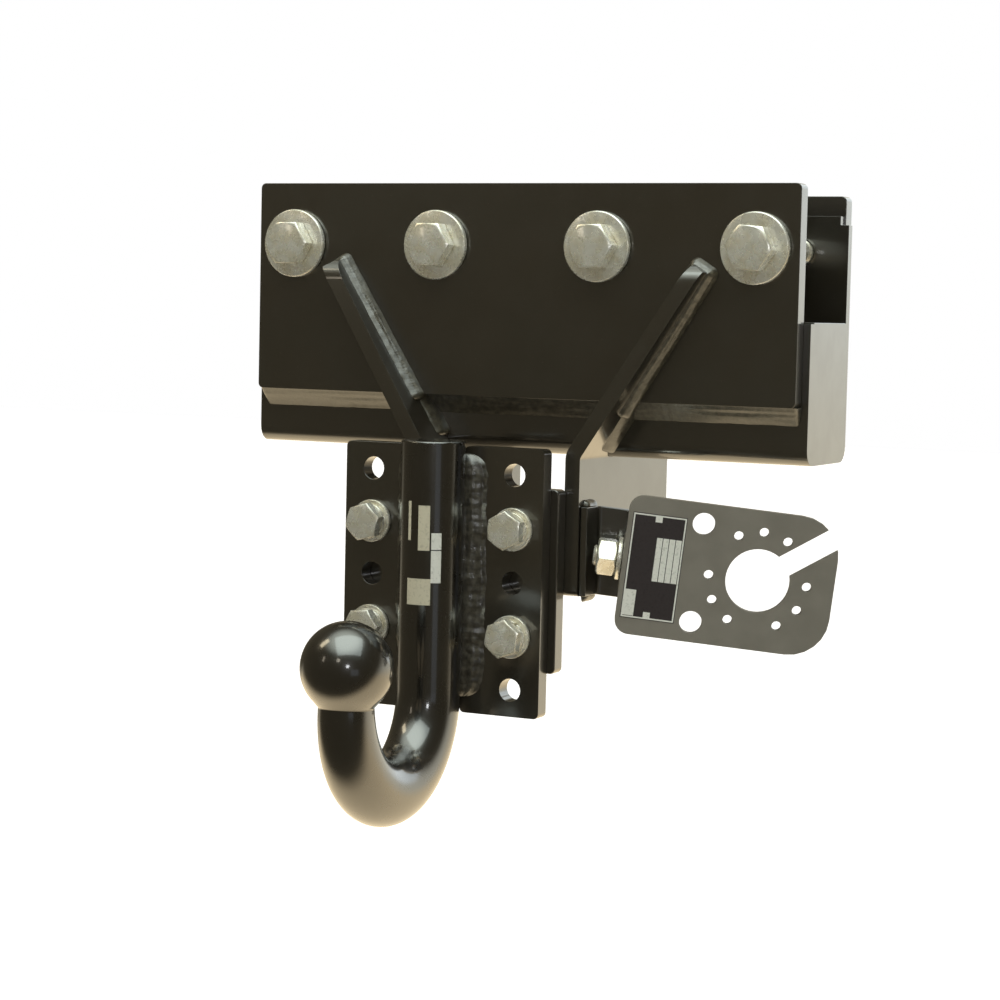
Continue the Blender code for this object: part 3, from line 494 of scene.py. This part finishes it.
# %% [markdown]
# ## The channel, its caps and the socket bracket
# The channel is one sheet, pressed to a J, and flat caps close its ends. Thinner sheet keeps a
# crisper edge than cut plate, so the same easing is used at a smaller width. The caps are welded
# in and ground flush, so each is grown a little to close the line round it.

# %% Ease the sheet parts
SHEET_EDGE, SOCKET_EDGE, CAP_REACH = 0.0005, 0.00035, 0.0009
thin_sheets = ["channel", "end_cap_left", "end_cap_right"]
sheet_parts = [eased(name, black_paint, "black_paint", SHEET_EDGE) for name in thin_sheets]
for cap in sheet_parts[1:]:
    heart = sum((corner.co for corner in cap.data.vertices), Vector()) / len(cap.data.vertices)
    for corner in cap.data.vertices:
        for axis in (1, 2):
            corner.co[axis] += CAP_REACH if corner.co[axis] > heart[axis] else -CAP_REACH
socket_arm = eased("socket_arm", black_paint, "black_paint", SHEET_EDGE)
socket_plate = eased("socket_plate", satin_coat, "satin_paint", SOCKET_EDGE, segments=2)
count("sheet parts", *sheet_parts, socket_arm, socket_plate)

# %% [markdown]
# ## The swan neck
# The neck is forged from one round bar: straight where it is welded, bent through a U, drawn
# thinner, and upset into the ball. It could be a curve and a sphere joined together, but the join
# would show. Here one ring of edges is extruded along the whole path, turned about the bend's
# centre and resized as it goes, so that bar, bend, neck and ball are one unbroken skin. The bend
# was drawn downward a little in the forge, so its half is stretched at the end.

# %% Forge the swan neck
BAR_RADIUS, NECK_RADIUS, BALL_RADIUS = 0.018, 0.015, 0.025
BEND_RADIUS, FILLET, BAR_ROUNDING = 0.04675, 0.0010, 0.0012
BAR_AROUND, BEND_STEPS, BALL_STEPS = 72, 44, 30
neck_low, neck_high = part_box("swan_neck")
BAR_X = (neck_low.x + neck_high.x) / 2
BAR_Y = neck_high.y - BAR_RADIUS
BAR_TOP = neck_high.z
BEND_Y = BAR_Y - BEND_RADIUS
BALL_Z, BEND_Z = -0.2268, -0.2485
BEND_STRETCH, TAPER_LATENESS = 1.089, 1.4


def next_ring(down=0.0, turn=0.0, radius=None):
    """Extrudes the last ring of the forging: along Z, about the bend's centre, or to a new radius."""
    global ring_radius, ring_place
    bpy.ops.mesh.extrude_region_move(TRANSFORM_OT_translate={"value": (0, 0, -down)})
    ring_place = ring_place + Vector((0, 0, -down))
    if turn:
        centre = Vector((BAR_X, BEND_Y, BEND_Z))
        bpy.ops.transform.rotate(value=turn, orient_axis="X", center_override=centre)
        ring_place = centre + Matrix.Rotation(-turn, 3, "X") @ (ring_place - centre)
    if radius is not None:
        grow = radius / ring_radius
        bpy.ops.transform.resize(value=(grow, grow, grow), center_override=ring_place)
        ring_radius = radius


ring_place, ring_radius = Vector((BAR_X, BAR_Y, BAR_TOP)), BAR_RADIUS - BAR_ROUNDING
bpy.ops.mesh.primitive_circle_add(vertices=BAR_AROUND, radius=ring_radius, location=ring_place)
swan_neck = bpy.context.object
swan_neck.name = "swan_neck_forging"
bpy.ops.object.transform_apply(location=True)
alone(swan_neck, "EDIT")
for step in range(1, 4):
    rounding = radians(30 * step)
    down = BAR_ROUNDING * (cos(rounding - radians(30)) - cos(rounding))
    next_ring(down, radius=BAR_RADIUS - BAR_ROUNDING * (1 - sin(rounding)))
straight = (ring_place.z - BEND_Z) / 8
for step in range(8):
    next_ring(straight)
for step in range(BEND_STEPS):
    share = max(0.0, 2 * (step + 1) / BEND_STEPS - 1) ** TAPER_LATENESS
    next_ring(turn=pi / BEND_STEPS, radius=BAR_RADIUS + (NECK_RADIUS - BAR_RADIUS) * share)
# %% Upset the ball
join_angle = -asin(sqrt(BALL_RADIUS**2 - NECK_RADIUS**2) / BALL_RADIUS)
neck_end = BALL_Z + BALL_RADIUS * sin(join_angle) - FILLET
for step in range(3):
    next_ring((ring_place.z - neck_end) / (3 - step))
for step in (1, 2, 3):
    next_ring(-FILLET * 0.42, radius=NECK_RADIUS + 0.0001 * step * step)
start_angle = join_angle + radians(8)
for step in range(BALL_STEPS):
    angle = start_angle + (radians(88) - start_angle) * step / (BALL_STEPS - 1)
    height = BALL_Z + BALL_RADIUS * sin(angle)
    next_ring(ring_place.z - height, radius=BALL_RADIUS * cos(angle))
bpy.ops.mesh.select_all(action="DESELECT")
bpy.ops.mesh.select_mode(type="VERT")
bpy.ops.mesh.select_non_manifold()
bpy.ops.mesh.fill_holes(sides=0)
bpy.ops.mesh.select_all(action="SELECT")
bpy.ops.mesh.normals_make_consistent(inside=False)
pick(swan_neck, "VERT", lambda corner: corner.co.z < BEND_Z)
bpy.ops.transform.resize(value=(1, 1, BEND_STRETCH), center_override=(BAR_X, BEND_Y, BEND_Z))
smooth(swan_neck, 50)
fit(swan_neck, forged_paint, "black_paint", "swan_neck")
count("swan neck", swan_neck)
print("the ball's top ring lies at z", round(ring_place.z * 1000, 2), "mm")

# %% [markdown]
# ## Turned pieces
# Washers are rings with pressed, slightly rounded edges, and bolts and nuts begin as turned
# blanks too. A lathe is the right picture: a closed half section is spun about Z.

# %% Lathe
def turned(name, profile, steps=72, sweep=tau):
    """Spins a closed half section, given as (radius, height) points, about Z."""
    bpy.ops.mesh.primitive_circle_add(vertices=len(profile), radius=1)
    piece = bpy.context.object
    piece.name = name
    for corner, (radius, height) in zip(piece.data.vertices, profile):
        corner.co = (radius, 0, height)
    alone(piece, "EDIT")
    bpy.ops.mesh.spin(steps=steps, angle=sweep, center=(0, 0, 0), axis=(0, 0, 1))
    bpy.ops.mesh.select_all(action="SELECT")
    bpy.ops.mesh.remove_doubles(threshold=0.000001)
    bpy.ops.mesh.delete_loose(use_edges=True)
    bpy.ops.mesh.select_all(action="DESELECT")
    bpy.ops.mesh.select_non_manifold()
    bpy.ops.mesh.fill_holes(sides=0)
    bpy.ops.mesh.select_all(action="SELECT")
    bpy.ops.mesh.normals_make_consistent(inside=False)
    bpy.ops.object.mode_set(mode="OBJECT")
    return piece


def eased_ring(bore, radius, low, high, edge):
    """The half section of a ring with four chamfered edges."""
    return [
        (bore, low + edge), (bore + edge, low), (radius - edge, low), (radius, low + edge),
        (radius, high - edge), (radius - edge, high), (bore + edge, high), (bore, high - edge),
    ]


def hexed(blank, flats, low, high):
    """Cuts a turned blank down to a hexagon, which leaves the curved edges of a real chamfer."""
    bpy.ops.mesh.primitive_cylinder_add(vertices=6, radius=flats / sqrt(3), depth=high - low)
    bar = bpy.context.object
    bar.location.z = (low + high) / 2
    bpy.context.view_layer.update()
    work(blank, "BOOLEAN", object=bar, operation="INTERSECT", solver="EXACT")
    bpy.data.objects.remove(bar)
    work(blank, "BEVEL", width=0.00025, segments=2, limit_method="ANGLE", angle_limit=radians(50))


THREAD_DEPTH = 0.54


def thread(blank, radius, pitch, low, high):
    """Cuts a helical thread: each vertex of the shank sinks by where it is along the helix."""
    depth = THREAD_DEPTH * pitch
    for corner in blank.data.vertices:
        x, y, z = corner.co
        if low < z < high and abs(sqrt(x * x + y * y) - radius) < 0.00002:
            phase = (z / pitch - Vector((x, y)).angle_signed(Vector((1, 0)), 0) / tau) % 1
            fade = min(1, (z - low) / pitch, (high - z) / (0.6 * pitch))
            sink = depth * (1 - abs(2 * phase - 1)) * max(0, fade)
            corner.co.x *= 1 - sink / radius
            corner.co.y *= 1 - sink / radius


def spread(piece, prefix, places, finish, slot, names):
    """Sets a copy of a finished piece, with a mesh of its own, at each place."""
    made = []
    for place, name in zip(places, names):
        copy = bpy.data.objects.new(f"{name}_{prefix}", piece.data.copy())
        scene.collection.objects.link(copy)
        copy.data.transform(place)
        made.append(fit(copy, finish, slot, name))
    bpy.data.objects.remove(piece)
    return made


# %% [markdown]
# ## Bolts, nuts and washers
# The clamp uses M16 bolts with broad washers, the neck and the socket use M12. A hexagon head is a
# turned blank cut by a hexagon bar: its chamfer circle, its washer face and the thin curved edges
# between them then come out as on a real head. The thread is a true helix. Each head was tightened
# to a different angle, so each copy is turned by its own.

# %% Sizes of the fasteners
FORWARD = Matrix.Rotation(-pi / 2, 4, "X")
M16 = {"shank": 0.008, "flats": 0.024, "head": 0.010, "nut": 0.013, "pitch": 0.002}
M12 = {"shank": 0.006, "flats": 0.019, "head": 0.0075, "nut": 0.0108, "pitch": 0.00175}
BORE_GAP = 0.0003
CHAMFER_ANGLE, FLAT_SHARE, BEARING_STEP = radians(30), 0.46, 0.0006


def bolt(name, size, length, threaded):
    """A hexagon bolt along +Z, whose head lies below Z = 0."""
    corner, shank, head = size["flats"] / sqrt(3) + 0.0003, size["shank"], size["head"]
    flat = size["flats"] * FLAT_SHARE
    drop = (corner - flat) * tan(CHAMFER_ANGLE)
    bearing = flat * 0.97
    profile = [(0, -head), (flat, -head), (corner, -head + drop), (corner, -BEARING_STEP)]
    profile += [(bearing + 0.0004, -BEARING_STEP), (bearing, 0), (shank + 0.0005, 0), (shank, 0.0005)]
    first = length - threaded
    rings = round(threaded / size["pitch"] * 6)
    profile += [(shank, first + (threaded - 0.001) * step / rings) for step in range(rings + 1)]
    profile += [(shank - 0.0012, length), (0, length)]
    blank = turned(name, profile, 60)
    thread(blank, shank, size["pitch"], first, length - 0.0005)
    hexed(blank, size["flats"], -head - 0.001, length + 0.001)
    smooth(blank, 32)
    return blank


def nut(name, size):
    """A hexagon nut along +Z from Z = 0, chamfered at both ends."""
    corner, flat, high = size["flats"] / sqrt(3) + 0.0003, size["flats"] * FLAT_SHARE, size["nut"]
    drop = (corner - flat) * tan(CHAMFER_ANGLE)
    bore = size["shank"] + BORE_GAP
    sink = 0.0007
    profile = [(bore, sink), (bore + sink, 0), (flat, 0), (corner, drop), (corner, high - drop)]
    profile += [(flat, high), (bore + sink, high), (bore, high - sink)]
    blank = turned(name, profile, 60)
    hexed(blank, size["flats"], -0.001, high + 0.001)
    smooth(blank, 32)
    return blank


def numbered(prefix):
    return [f"{prefix}_{number}" for number in (1, 2, 3, 4)]


def seats(names, offset, turns=(0, 0, 0, 0)):
    """Places that face forward, on the lowest Y of each named node plus an offset."""
    places = []
    for name, turn in zip(names, turns):
        low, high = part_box(name)
        spot = Matrix.Translation(((low.x + high.x) / 2, low.y + offset, (low.z + high.z) / 2))
        places.append(spot @ FORWARD @ Matrix.Rotation(radians(turn), 4, "Z"))
    return places


# %% Clamp fasteners
CLAMP_THREADED = 0.044
names = numbered("clamp_bolt")
low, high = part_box(names[0])
reach = high.y - low.y - M16["head"]
places = seats(names, M16["head"], (30, 31, 28, 35))
fasteners = spread(bolt("m16", M16, reach, CLAMP_THREADED), "threaded", places, zinc, "zinc", names)
washer = turned("m16_washer", eased_ring(M16["shank"] + BORE_GAP, 0.020, 0, 0.004, 0.0009), 96)
smooth(washer, 50)
names = numbered("clamp_washer_front")
fasteners += spread(washer, "pressed", seats(names, 0), zinc, "zinc", names)
washer = turned("m16_rear_washer", eased_ring(M16["shank"] + BORE_GAP, 0.015, 0, 0.003, 0.0005), 80)
smooth(washer, 50)
names = numbered("clamp_washer_rear")
fasteners += spread(washer, "pressed", seats(names, 0), zinc, "zinc", names)
names = numbered("clamp_nut")
places = seats(names, 0, (12, 40, 3, 25))
fasteners += spread(nut("m16_nut", M16), "threaded", places, zinc, "zinc", names)
count("clamp fasteners", *fasteners)

# %% [markdown]
# ## The neck's fasteners
# Four M12 bolts hold the neck, each with a spring washer over a plain one. A spring washer is a
# square bar wound once, its ends a little apart. Here its section is spun short of a full turn and
# the turn is raised like a thread.

# %% Neck fasteners
NECK_THREADED = 0.022
SPLIT, WOUND_RISE = radians(9), 0.0004
names = numbered("neck_bolt")
low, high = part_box(names[0])
reach = high.y - low.y - M12["head"]
places = seats(names, M12["head"], (14, 2, 25, 9))
fasteners = spread(bolt("m12", M12, reach, NECK_THREADED), "threaded", places, zinc, "zinc", names)
names = numbered("neck_spring_washer")
low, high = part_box(names[0])
thick = high.y - low.y - WOUND_RISE
section = eased_ring(M12["shank"] + BORE_GAP, 0.0100, 0, thick, 0.0004)
spring = turned("spring_washer", section, 64, tau - SPLIT)
for corner in spring.data.vertices:
    around = Vector(corner.co.xy).angle_signed(Vector((1, 0)), 0) % tau
    corner.co.z += WOUND_RISE * around / tau
smooth(spring, 50)
fasteners += spread(spring, "wound", seats(names, 0, (40, 200, 130, 300)), zinc, "zinc", names)
for names in (numbered("neck_washer_front"), numbered("neck_washer_rear")):
    washer = turned("m12_washer", eased_ring(M12["shank"] + BORE_GAP, 0.012, 0, 0.0025, 0.0004), 72)
    smooth(washer, 50)
    fasteners += spread(washer, "pressed", seats(names, 0), zinc, "zinc", names)
names = numbered("neck_nut")
places = seats(names, 0, (5, 33, 18, 50))
fasteners += spread(nut("m12_nut", M12), "threaded", places, zinc, "zinc", names)
count("neck fasteners", *fasteners)

# %% [markdown]
# ## The swivel
# The socket plate turns on one M12 bolt that runs along the plate's own slanted axis. That axis
# isn't square to anything else, so the swivel has a frame of its own: x along the bolt, y up, and
# z to the plate's front. The fasteners are placed in it, and so is the label later.

# %% Swivel fasteners
SWIVEL_TURN = Euler((radians(93.6), radians(6), radians(24.7)))
SWIVEL = Matrix.Translation((0.0784, -0.0238, -0.1731)) @ SWIVEL_TURN.to_matrix().to_4x4()
SOCKET_THICK, ARM_THICK, SMALL_WASHER = 0.0045, 0.004, 0.0025
SEAT, PIVOT_THREADED = 0.0003, 0.02
leftward = SWIVEL @ Matrix.Rotation(-pi / 2, 4, "Y")
head_seat = SOCKET_THICK / 2 + 3 * SEAT + ARM_THICK + SMALL_WASHER
nut_washer = -SOCKET_THICK / 2 - SEAT
nut_seat = nut_washer - SMALL_WASHER - SEAT


def along_bolt(x, turn=0):
    return leftward @ Matrix.Translation((0, 0, -x)) @ Matrix.Rotation(radians(turn), 4, "Z")


long = head_seat - nut_seat + M12["nut"] + 0.002
blank, places = bolt("pivot", M12, long, PIVOT_THREADED), [along_bolt(head_seat, 12)]
fasteners = spread(blank, "threaded", places, zinc, "zinc", ["socket_bolt"])
blank, places = nut("pivot_nut", M12), [along_bolt(nut_seat, 30)]
fasteners += spread(blank, "threaded", places, zinc, "zinc", ["socket_nut"])
washer = turned("pivot_washer", eased_ring(M12["shank"] + BORE_GAP, 0.012, 0, SMALL_WASHER, 0.0004), 72)
smooth(washer, 50)
names = ["socket_washer_head", "socket_washer_nut"]
places = [along_bolt(head_seat - SEAT), along_bolt(nut_washer)]
fasteners += spread(washer, "pressed", places, zinc, "zinc", names)
count("swivel fasteners", *fasteners)

# %% [markdown]
# ## Weld beads
# A fillet weld fills a corner with molten metal that freezes in overlapping crescents. The bead's
# skin starts as a flat grid, one row of faces for each slice of the weld. Each slice is set
# into the corner as a closed section, and its face is raised by the crescents, which lag behind in
# the middle, and by a slow wander, because a hand laid it.

# %% Lay a bead
BEAD_SIDES = 14
BEAD_SLICE = 0.00055
BEAD_PITCH = 0.0018
TOE_SUNK = 0.0004
END_HEIGHT = 0.18


def stroke(stations, reach):
    """Resamples stations (point, way along wall u, way along wall v) into even slices of a bead."""
    faces = [point + (u + v) * reach / 2 for point, u, v in stations]
    lengths = [0.0]
    for first, last in zip(faces, faces[1:]):
        lengths.append(lengths[-1] + (last - first).length)
    slices = max(8, round(lengths[-1] / BEAD_SLICE))
    made, leg = [], 0
    for number in range(slices + 1):
        at = lengths[-1] * number / slices
        while leg < len(lengths) - 2 and lengths[leg + 1] < at:
            leg += 1
        share = (at - lengths[leg]) / max(1e-9, lengths[leg + 1] - lengths[leg])
        made.append((at, *(a.lerp(b, share) for a, b in zip(stations[leg], stations[leg + 1]))))
    return made, lengths[-1]


def bead(
    name, stations, legs,
    crown=0.0007, ripple=0.00008, wander=0.00018, streak=0.0, uneven=0.08, seed=0, taper=0.7,
):
    """A closed weld bead along a corner, from toe to toe.

    The crown, the crescents' ripple, the wander and the lengthwise streaks are heights. Uneven is a
    share of the legs' width, and the bead tapers to its ends over that share of a leg.
    """
    slices, whole = stroke(stations, sum(legs) / 2)
    bpy.ops.mesh.primitive_grid_add(x_subdivisions=BEAD_SIDES, y_subdivisions=len(slices) - 1, size=1)
    piece = bpy.context.object
    piece.name = name
    row = BEAD_SIDES + 1
    for number, (at, point, u, v) in enumerate(slices):
        u, v = u.normalized(), v.normalized()
        ends = min(1.0, at / (taper * legs[0]), (whole - at) / (taper * legs[0]))
        full = END_HEIGHT + (1 - END_HEIGHT) * sqrt(max(0.0, 1 - (1 - ends) ** 2))
        drift = noise.noise(Vector((at * 90, seed * 7.3, 0)))
        shiver = noise.noise(Vector((at * 260, seed, 5)))
        wide = [leg * full * (1 + uneven * (drift + 0.5 * shiver)) for leg in legs]
        for side in range(row):
            corner = piece.data.vertices[number * row + side]
            if side in (0, row - 1):
                corner.co = point - (u + v) * TOE_SUNK
                continue
            share = (side - 1) / (row - 3)
            dome = sin(pi * share)
            lag = 0.9 * dome + 0.25 * noise.noise(Vector((at * 150, share * 2, seed)))
            phase = (at / BEAD_PITCH + lag + 0.35 * drift) % 1
            crescent = min(1, 2.5 * dome) * (1 - (2 * phase - 1) ** 4)
            raised = crown * full * dome + ripple * full * crescent
            place = point + u * wide[0] * (1 - share) + v * wide[1] * share
            raised += wander * dome * noise.noise(place * 320 + Vector((seed, 0, 0)))
            raised += streak * min(1, 2 * dome) * noise.noise(Vector((at * 22, share * 7, seed)))
            corner.co = place + (u + v).normalized() * raised
    alone(piece, "EDIT")
    bpy.ops.mesh.remove_doubles(threshold=0.00001)
    bpy.ops.mesh.select_all(action="DESELECT")
    bpy.ops.mesh.select_non_manifold()
    bpy.ops.mesh.fill_holes(sides=0)
    bpy.ops.mesh.select_all(action="SELECT")
    bpy.ops.mesh.normals_make_consistent(inside=False)
    smooth(piece, 75, weighted=False)
    return piece


def joined(name, pieces):
    alone(pieces[0])
    for piece in pieces:
        piece.select_set(True)
    bpy.ops.object.join()
    bpy.context.object.name = name
    return bpy.context.object


# %% [markdown]
# ## The frame's welds
# A long seam runs under the front plate, in three runs that meet under the ribs. Each rib has a
# fillet that climbs one side of it, turns round its top end and comes down the other, and short
# fillets join it to the channel. They all melt into each other, so they are one piece, as in the
# CAD model.

# %% Corners along the ribs
UP, ACROSS, BACK = Vector((0, 0, 1)), Vector((1, 0, 0)), Vector((0, 1, 0))
PLATE_FACE, PLATE_BOTTOM, PLATE_HALF = -0.010, -0.0865, 0.170
GUSSET_INSIDE, GUSSET_THICK, LEAN = 0.0443, 0.0089, radians(32.3)
FOLD_Z, RIB_LENGTH = -0.1155, 0.126


def rib_corner(side, climb, outward, y):
    """A point on a rib: climb along it from the fold, outward across its thickness."""
    x = GUSSET_INSIDE + climb * sin(LEAN) + outward * cos(LEAN)
    return Vector((side * x, y, FOLD_Z + climb * cos(LEAN) - outward * sin(LEAN)))


def rib_stations(side, first, last, y, round_top):
    """Up the rib's inner side, round its end, and down its outer side."""
    climb = Vector((side * sin(LEAN), 0, cos(LEAN)))
    out = Vector((side * cos(LEAN), 0, -sin(LEAN)))
    inner = [(rib_corner(side, at, 0, y), -out, -BACK) for at in (first, last)]
    outer = [(rib_corner(side, at, GUSSET_THICK, y), out, -BACK) for at in (last, first)]
    if not round_top:
        return inner, outer
    turn = []
    for across, start, end in ((0, -out, climb), (GUSSET_THICK, climb, out)):
        for step in range(7):
            way = start * cos(pi / 2 * step / 6) + end * sin(pi / 2 * step / 6)
            turn.append((rib_corner(side, last, across, y), way, -BACK))
    return inner + turn + outer


# %% Frame welds
RIB_CROSSING, CHANNEL_FACE = 0.069, 0.0003
RIB_WELD, CHANNEL_WELD = (0.030, RIB_LENGTH - 0.0012), (0.006, 0.036)
pieces = []
for start, end, legs in (
    (-PLATE_HALF, -RIB_CROSSING, (0.0096, 0.0100)),
    (-RIB_CROSSING, RIB_CROSSING, (0.0040, 0.0104)),
    (RIB_CROSSING, PLATE_HALF, (0.0078, 0.0100)),
):
    stations = [(Vector((x, 0, PLATE_BOTTOM)), -BACK, -UP) for x in (start, end)]
    pieces.append(
        bead(
            "seam", stations, legs,
            crown=0.0002, ripple=0, wander=0.00005, streak=0.0003, uneven=0.02, seed=1, taper=0.3,
        )
    )
for side in (-1, 1):
    stations = rib_stations(side, *RIB_WELD, PLATE_FACE, True)
    pieces.append(bead("rib_fillet", stations, (0.0046, 0.0070), streak=0.0003, uneven=0.05, seed=3 + side))
    for stations in rib_stations(side, *CHANNEL_WELD, CHANNEL_FACE, False):
        legs = (0.0040, 0.0105)
        pieces.append(bead("channel_fillet", stations, legs, crown=0.0004, streak=0.0002, seed=8 + side))
frame_weld = joined("frame_weld_beads", pieces)
fit(frame_weld, weld_paint, "painted_weld", "frame_weld")
count("frame welds", frame_weld)

# %% [markdown]
# ## The neck's, the receiver's and the bracket's welds
# The fillets between bar and flanges are the widest on the hitch, laid in several passes, so they
# are coarser and lumpier. The receiver's are plain runs, and the bracket has two short ones.

# %% Neck and receiver welds
FLANGE_FACE, WELD_START = -0.0536, 0.005
NECK_LEGS, RECEIVER_LEGS, ARM_LEGS = (0.0150, 0.0050), (0.0048, 0.0048), (0.0034, 0.0034)
corner_x = sqrt(BAR_RADIUS**2 - (FLANGE_FACE - BAR_Y) ** 2)
for side, end in ((-1, "left"), (1, "right")):
    name = f"neck_weld_{end}"
    low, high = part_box(name)
    wall = Vector((side * 0.24, -0.97, 0)).normalized()
    x = BAR_X + side * corner_x
    stations = [(Vector((x, FLANGE_FACE, z)), ACROSS * side, wall) for z in (low.z + WELD_START, high.z)]
    piece = bead(
        name + "_bead", stations, NECK_LEGS,
        crown=0.0012, ripple=0.00006, wander=0.0004, streak=0.0011, uneven=0.10, seed=20 + side,
    )
    # The neck's beads take the darker copy of the weld paint: painted shade in the bar's corners.
    fit(piece, shaded_weld_paint, "painted_weld", name)
    count(name, piece)
    name = f"receiver_weld_{end}"
    low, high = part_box(name)
    x = high.x if side > 0 else low.x
    stations = [(Vector((x, low.y, z)), -ACROSS * side, BACK) for z in (low.z, high.z)]
    piece = bead(name + "_bead", stations, RECEIVER_LEGS, seed=30 + side)
    fit(piece, weld_paint, "painted_weld", name)

# %% Bracket welds
for name, way in (("arm_weld_top", UP), ("arm_weld_bottom", -UP)):
    low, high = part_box(name)
    z = low.z if way.z > 0 else high.z
    stations = [(Vector((low.x, y, z)), ACROSS, way) for y in (low.y, high.y)]
    piece = bead(name + "_bead", stations, ARM_LEGS, seed=40)
    fit(piece, weld_paint, "painted_weld", name)
    count(name, piece)

# %% [markdown]
# ## The bare label and the pale patches
# The socket plate carries a type label and the bar has paper stickers. Both are left bare here. The
# label is a thin foil with a pale border and an empty table, ruled by bisecting one sheet and
# printing some of its faces. Each patch is a strip cut out of a cylinder that hugs the bar.

# %% Paper and foil
WORN = 0.72


def print_finish(name, colour, roughness):
    made, tree, shader = new_finish(name, colour, roughness, coat=0.4, coat_roughness=0.2)
    place = add(tree, "TexCoord").outputs["Object"]
    soil = noise_of(tree, place, 700, 3, 0.6)
    worn = [channel * WORN for channel in colour]
    tone = blend(tree, ramp(tree, soil, 0.5, 0.75, 0, 1), colour, worn)
    tree.links.new(tone, shader.inputs["Base Color"])
    tree.links.new(ramp(tree, soil, 0.3, 0.7, roughness, roughness + 0.15), shader.inputs["Roughness"])
    return made


foil = print_finish("label_foil", (0.035, 0.026, 0.030), 0.35)
pale_print = print_finish("pale_print", (0.78, 0.76, 0.72), 0.5)
aged_paper = print_finish("aged_paper", (0.62, 0.56, 0.44), 0.6)
print("bare prints:", ", ".join(made.name for made in (foil, pale_print, aged_paper)))

# %% Socket label
# Boxes on the label are (left, right, low, high) in the swivel's frame.
LABEL_BOX = (0.0003, 0.0302, -0.0295, 0.0295)
PANEL_BOX = (0.0015, 0.0075, -0.0280, -0.0135)
RIVET_BOXES = [(0.0128, 0.0166, 0.0252, 0.0288), (0.0128, 0.0166, -0.0288, -0.0252)]
LABEL_FRONT, LABEL_THICK = 0.0180, 0.00012
BORDER, MARGIN = 0.0008, 0.0004
TABLE_COLUMNS, TABLE_LEFT, COLUMN_WIDE, RULE = 4, 0.0150, 0.0031, 0.0004
TABLE_LOW, TABLE_HIGH = -0.0076, 0.0167


def pale_areas():
    """The pale parts of the bare label: border, table columns, panel and rivet marks."""
    left, right, low, high = LABEL_BOX
    left, right, low, high = left + MARGIN, right - MARGIN, low + MARGIN, high - MARGIN
    areas = [(left, left + BORDER, low, high), (right - BORDER, right, low, high)]
    areas += [(left, right, low, low + BORDER), (left, right, high - BORDER, high)]
    for number in range(TABLE_COLUMNS):
        start = TABLE_LEFT + number * (COLUMN_WIDE + RULE)
        areas.append((start, start + COLUMN_WIDE, TABLE_LOW, TABLE_HIGH))
    return [*areas, PANEL_BOX, *RIVET_BOXES]


areas = pale_areas()
columns = sorted({LABEL_BOX[0], LABEL_BOX[1], *(x for area in areas for x in area[:2])})
rows = sorted({LABEL_BOX[2], LABEL_BOX[3], *(y for area in areas for y in area[2:])})
bpy.ops.mesh.primitive_plane_add(size=1)
label = bpy.context.object
label.name = "socket_label"
wide, tall = columns[-1] - columns[0], rows[-1] - rows[0]
heart = Vector(((columns[0] + columns[-1]) / 2, (rows[0] + rows[-1]) / 2, 0))
label.data.transform(Matrix.Translation(heart) @ Matrix.Diagonal((wide, tall, 1, 1)))
alone(label, "EDIT")
cuts = [((x, 0, 0), (1, 0, 0)) for x in columns[1:-1]] + [((0, y, 0), (0, 1, 0)) for y in rows[1:-1]]
for point, normal in cuts:
    bpy.ops.mesh.select_all(action="SELECT")
    bpy.ops.mesh.bisect(plane_co=point, plane_no=normal)
bpy.ops.mesh.select_all(action="SELECT")
bpy.ops.mesh.extrude_region_move(TRANSFORM_OT_translate={"value": (0, 0, LABEL_THICK)})
bpy.ops.mesh.select_all(action="SELECT")
bpy.ops.mesh.normals_make_consistent(inside=False)
bpy.ops.object.mode_set(mode="OBJECT")
fit(label, foil, "satin_paint", body="socket_holder")
label.data.materials.append(pale_print)
for face in label.data.polygons:
    x, y, _ = face.center
    if any(left < x < right and low < y < high for left, right, low, high in areas):
        face.material_index = 1
label.data.transform(SWIVEL @ Matrix.Translation((0, 0, LABEL_FRONT)))
count("label", label)

# %% Patches on the bar
PATCH_STAND, PATCH_THICK, PATCH_AROUND = 0.00012, 0.0001, 120


def patch(name, first, last, low, high, finish):
    """A strip that hugs the bar from one angle to another, between two heights."""
    bpy.ops.mesh.primitive_cylinder_add(
        vertices=PATCH_AROUND, radius=BAR_RADIUS + PATCH_STAND, depth=high - low,
        end_fill_type="NOTHING", location=(BAR_X, BAR_Y, (low + high) / 2),
    )
    piece = bpy.context.object
    piece.name = name
    bpy.ops.object.transform_apply(location=True)
    alone(piece, "EDIT")

    def outside(face):
        spot = middle(face) - Vector((BAR_X, BAR_Y, 0))
        turn = Vector((0, -1)).angle_signed(Vector((spot.x, spot.y)), 0)
        return not first <= -degrees(turn) <= last

    pick(piece, "FACE", outside)
    bpy.ops.mesh.delete(type="FACE")
    bpy.ops.object.mode_set(mode="OBJECT")
    work(piece, "SOLIDIFY", thickness=PATCH_THICK, offset=-1)
    smooth(piece, 50)
    return fit(piece, finish, "satin_paint", body="neck_carriage")


patches = [
    patch("bar_patch_1", -18.5, -12, -0.1646, -0.1429, aged_paper),
    patch("bar_patch_2", 2.3, 25.3, -0.170, -0.1451, aged_paper),
    patch("bar_patch_3", 27, 46.4, -0.1694, -0.1602, pale_print),
    patch("bar_patch_4", 27, 46.4, -0.1879, -0.1700, pale_print),
    patch("bar_patch_5", -18.5, 27, -0.2003, -0.1857, aged_paper),
]
count("patches", *patches)

# %% [markdown]
# ## The sizes
# The sizes of both boxes, the CAD model's and the dressed hitch's, are printed in mm.
# The dressed hitch may not outgrow the CAD model.

# %% Finish
boxes = {"cad": [list(corner) for corner in cad_box], "visual": [list(corner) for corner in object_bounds()]}
for name, (low, high) in boxes.items():
    print(name, [round((b - a) * 1000, 1) for a, b in zip(low, high)], "mm")
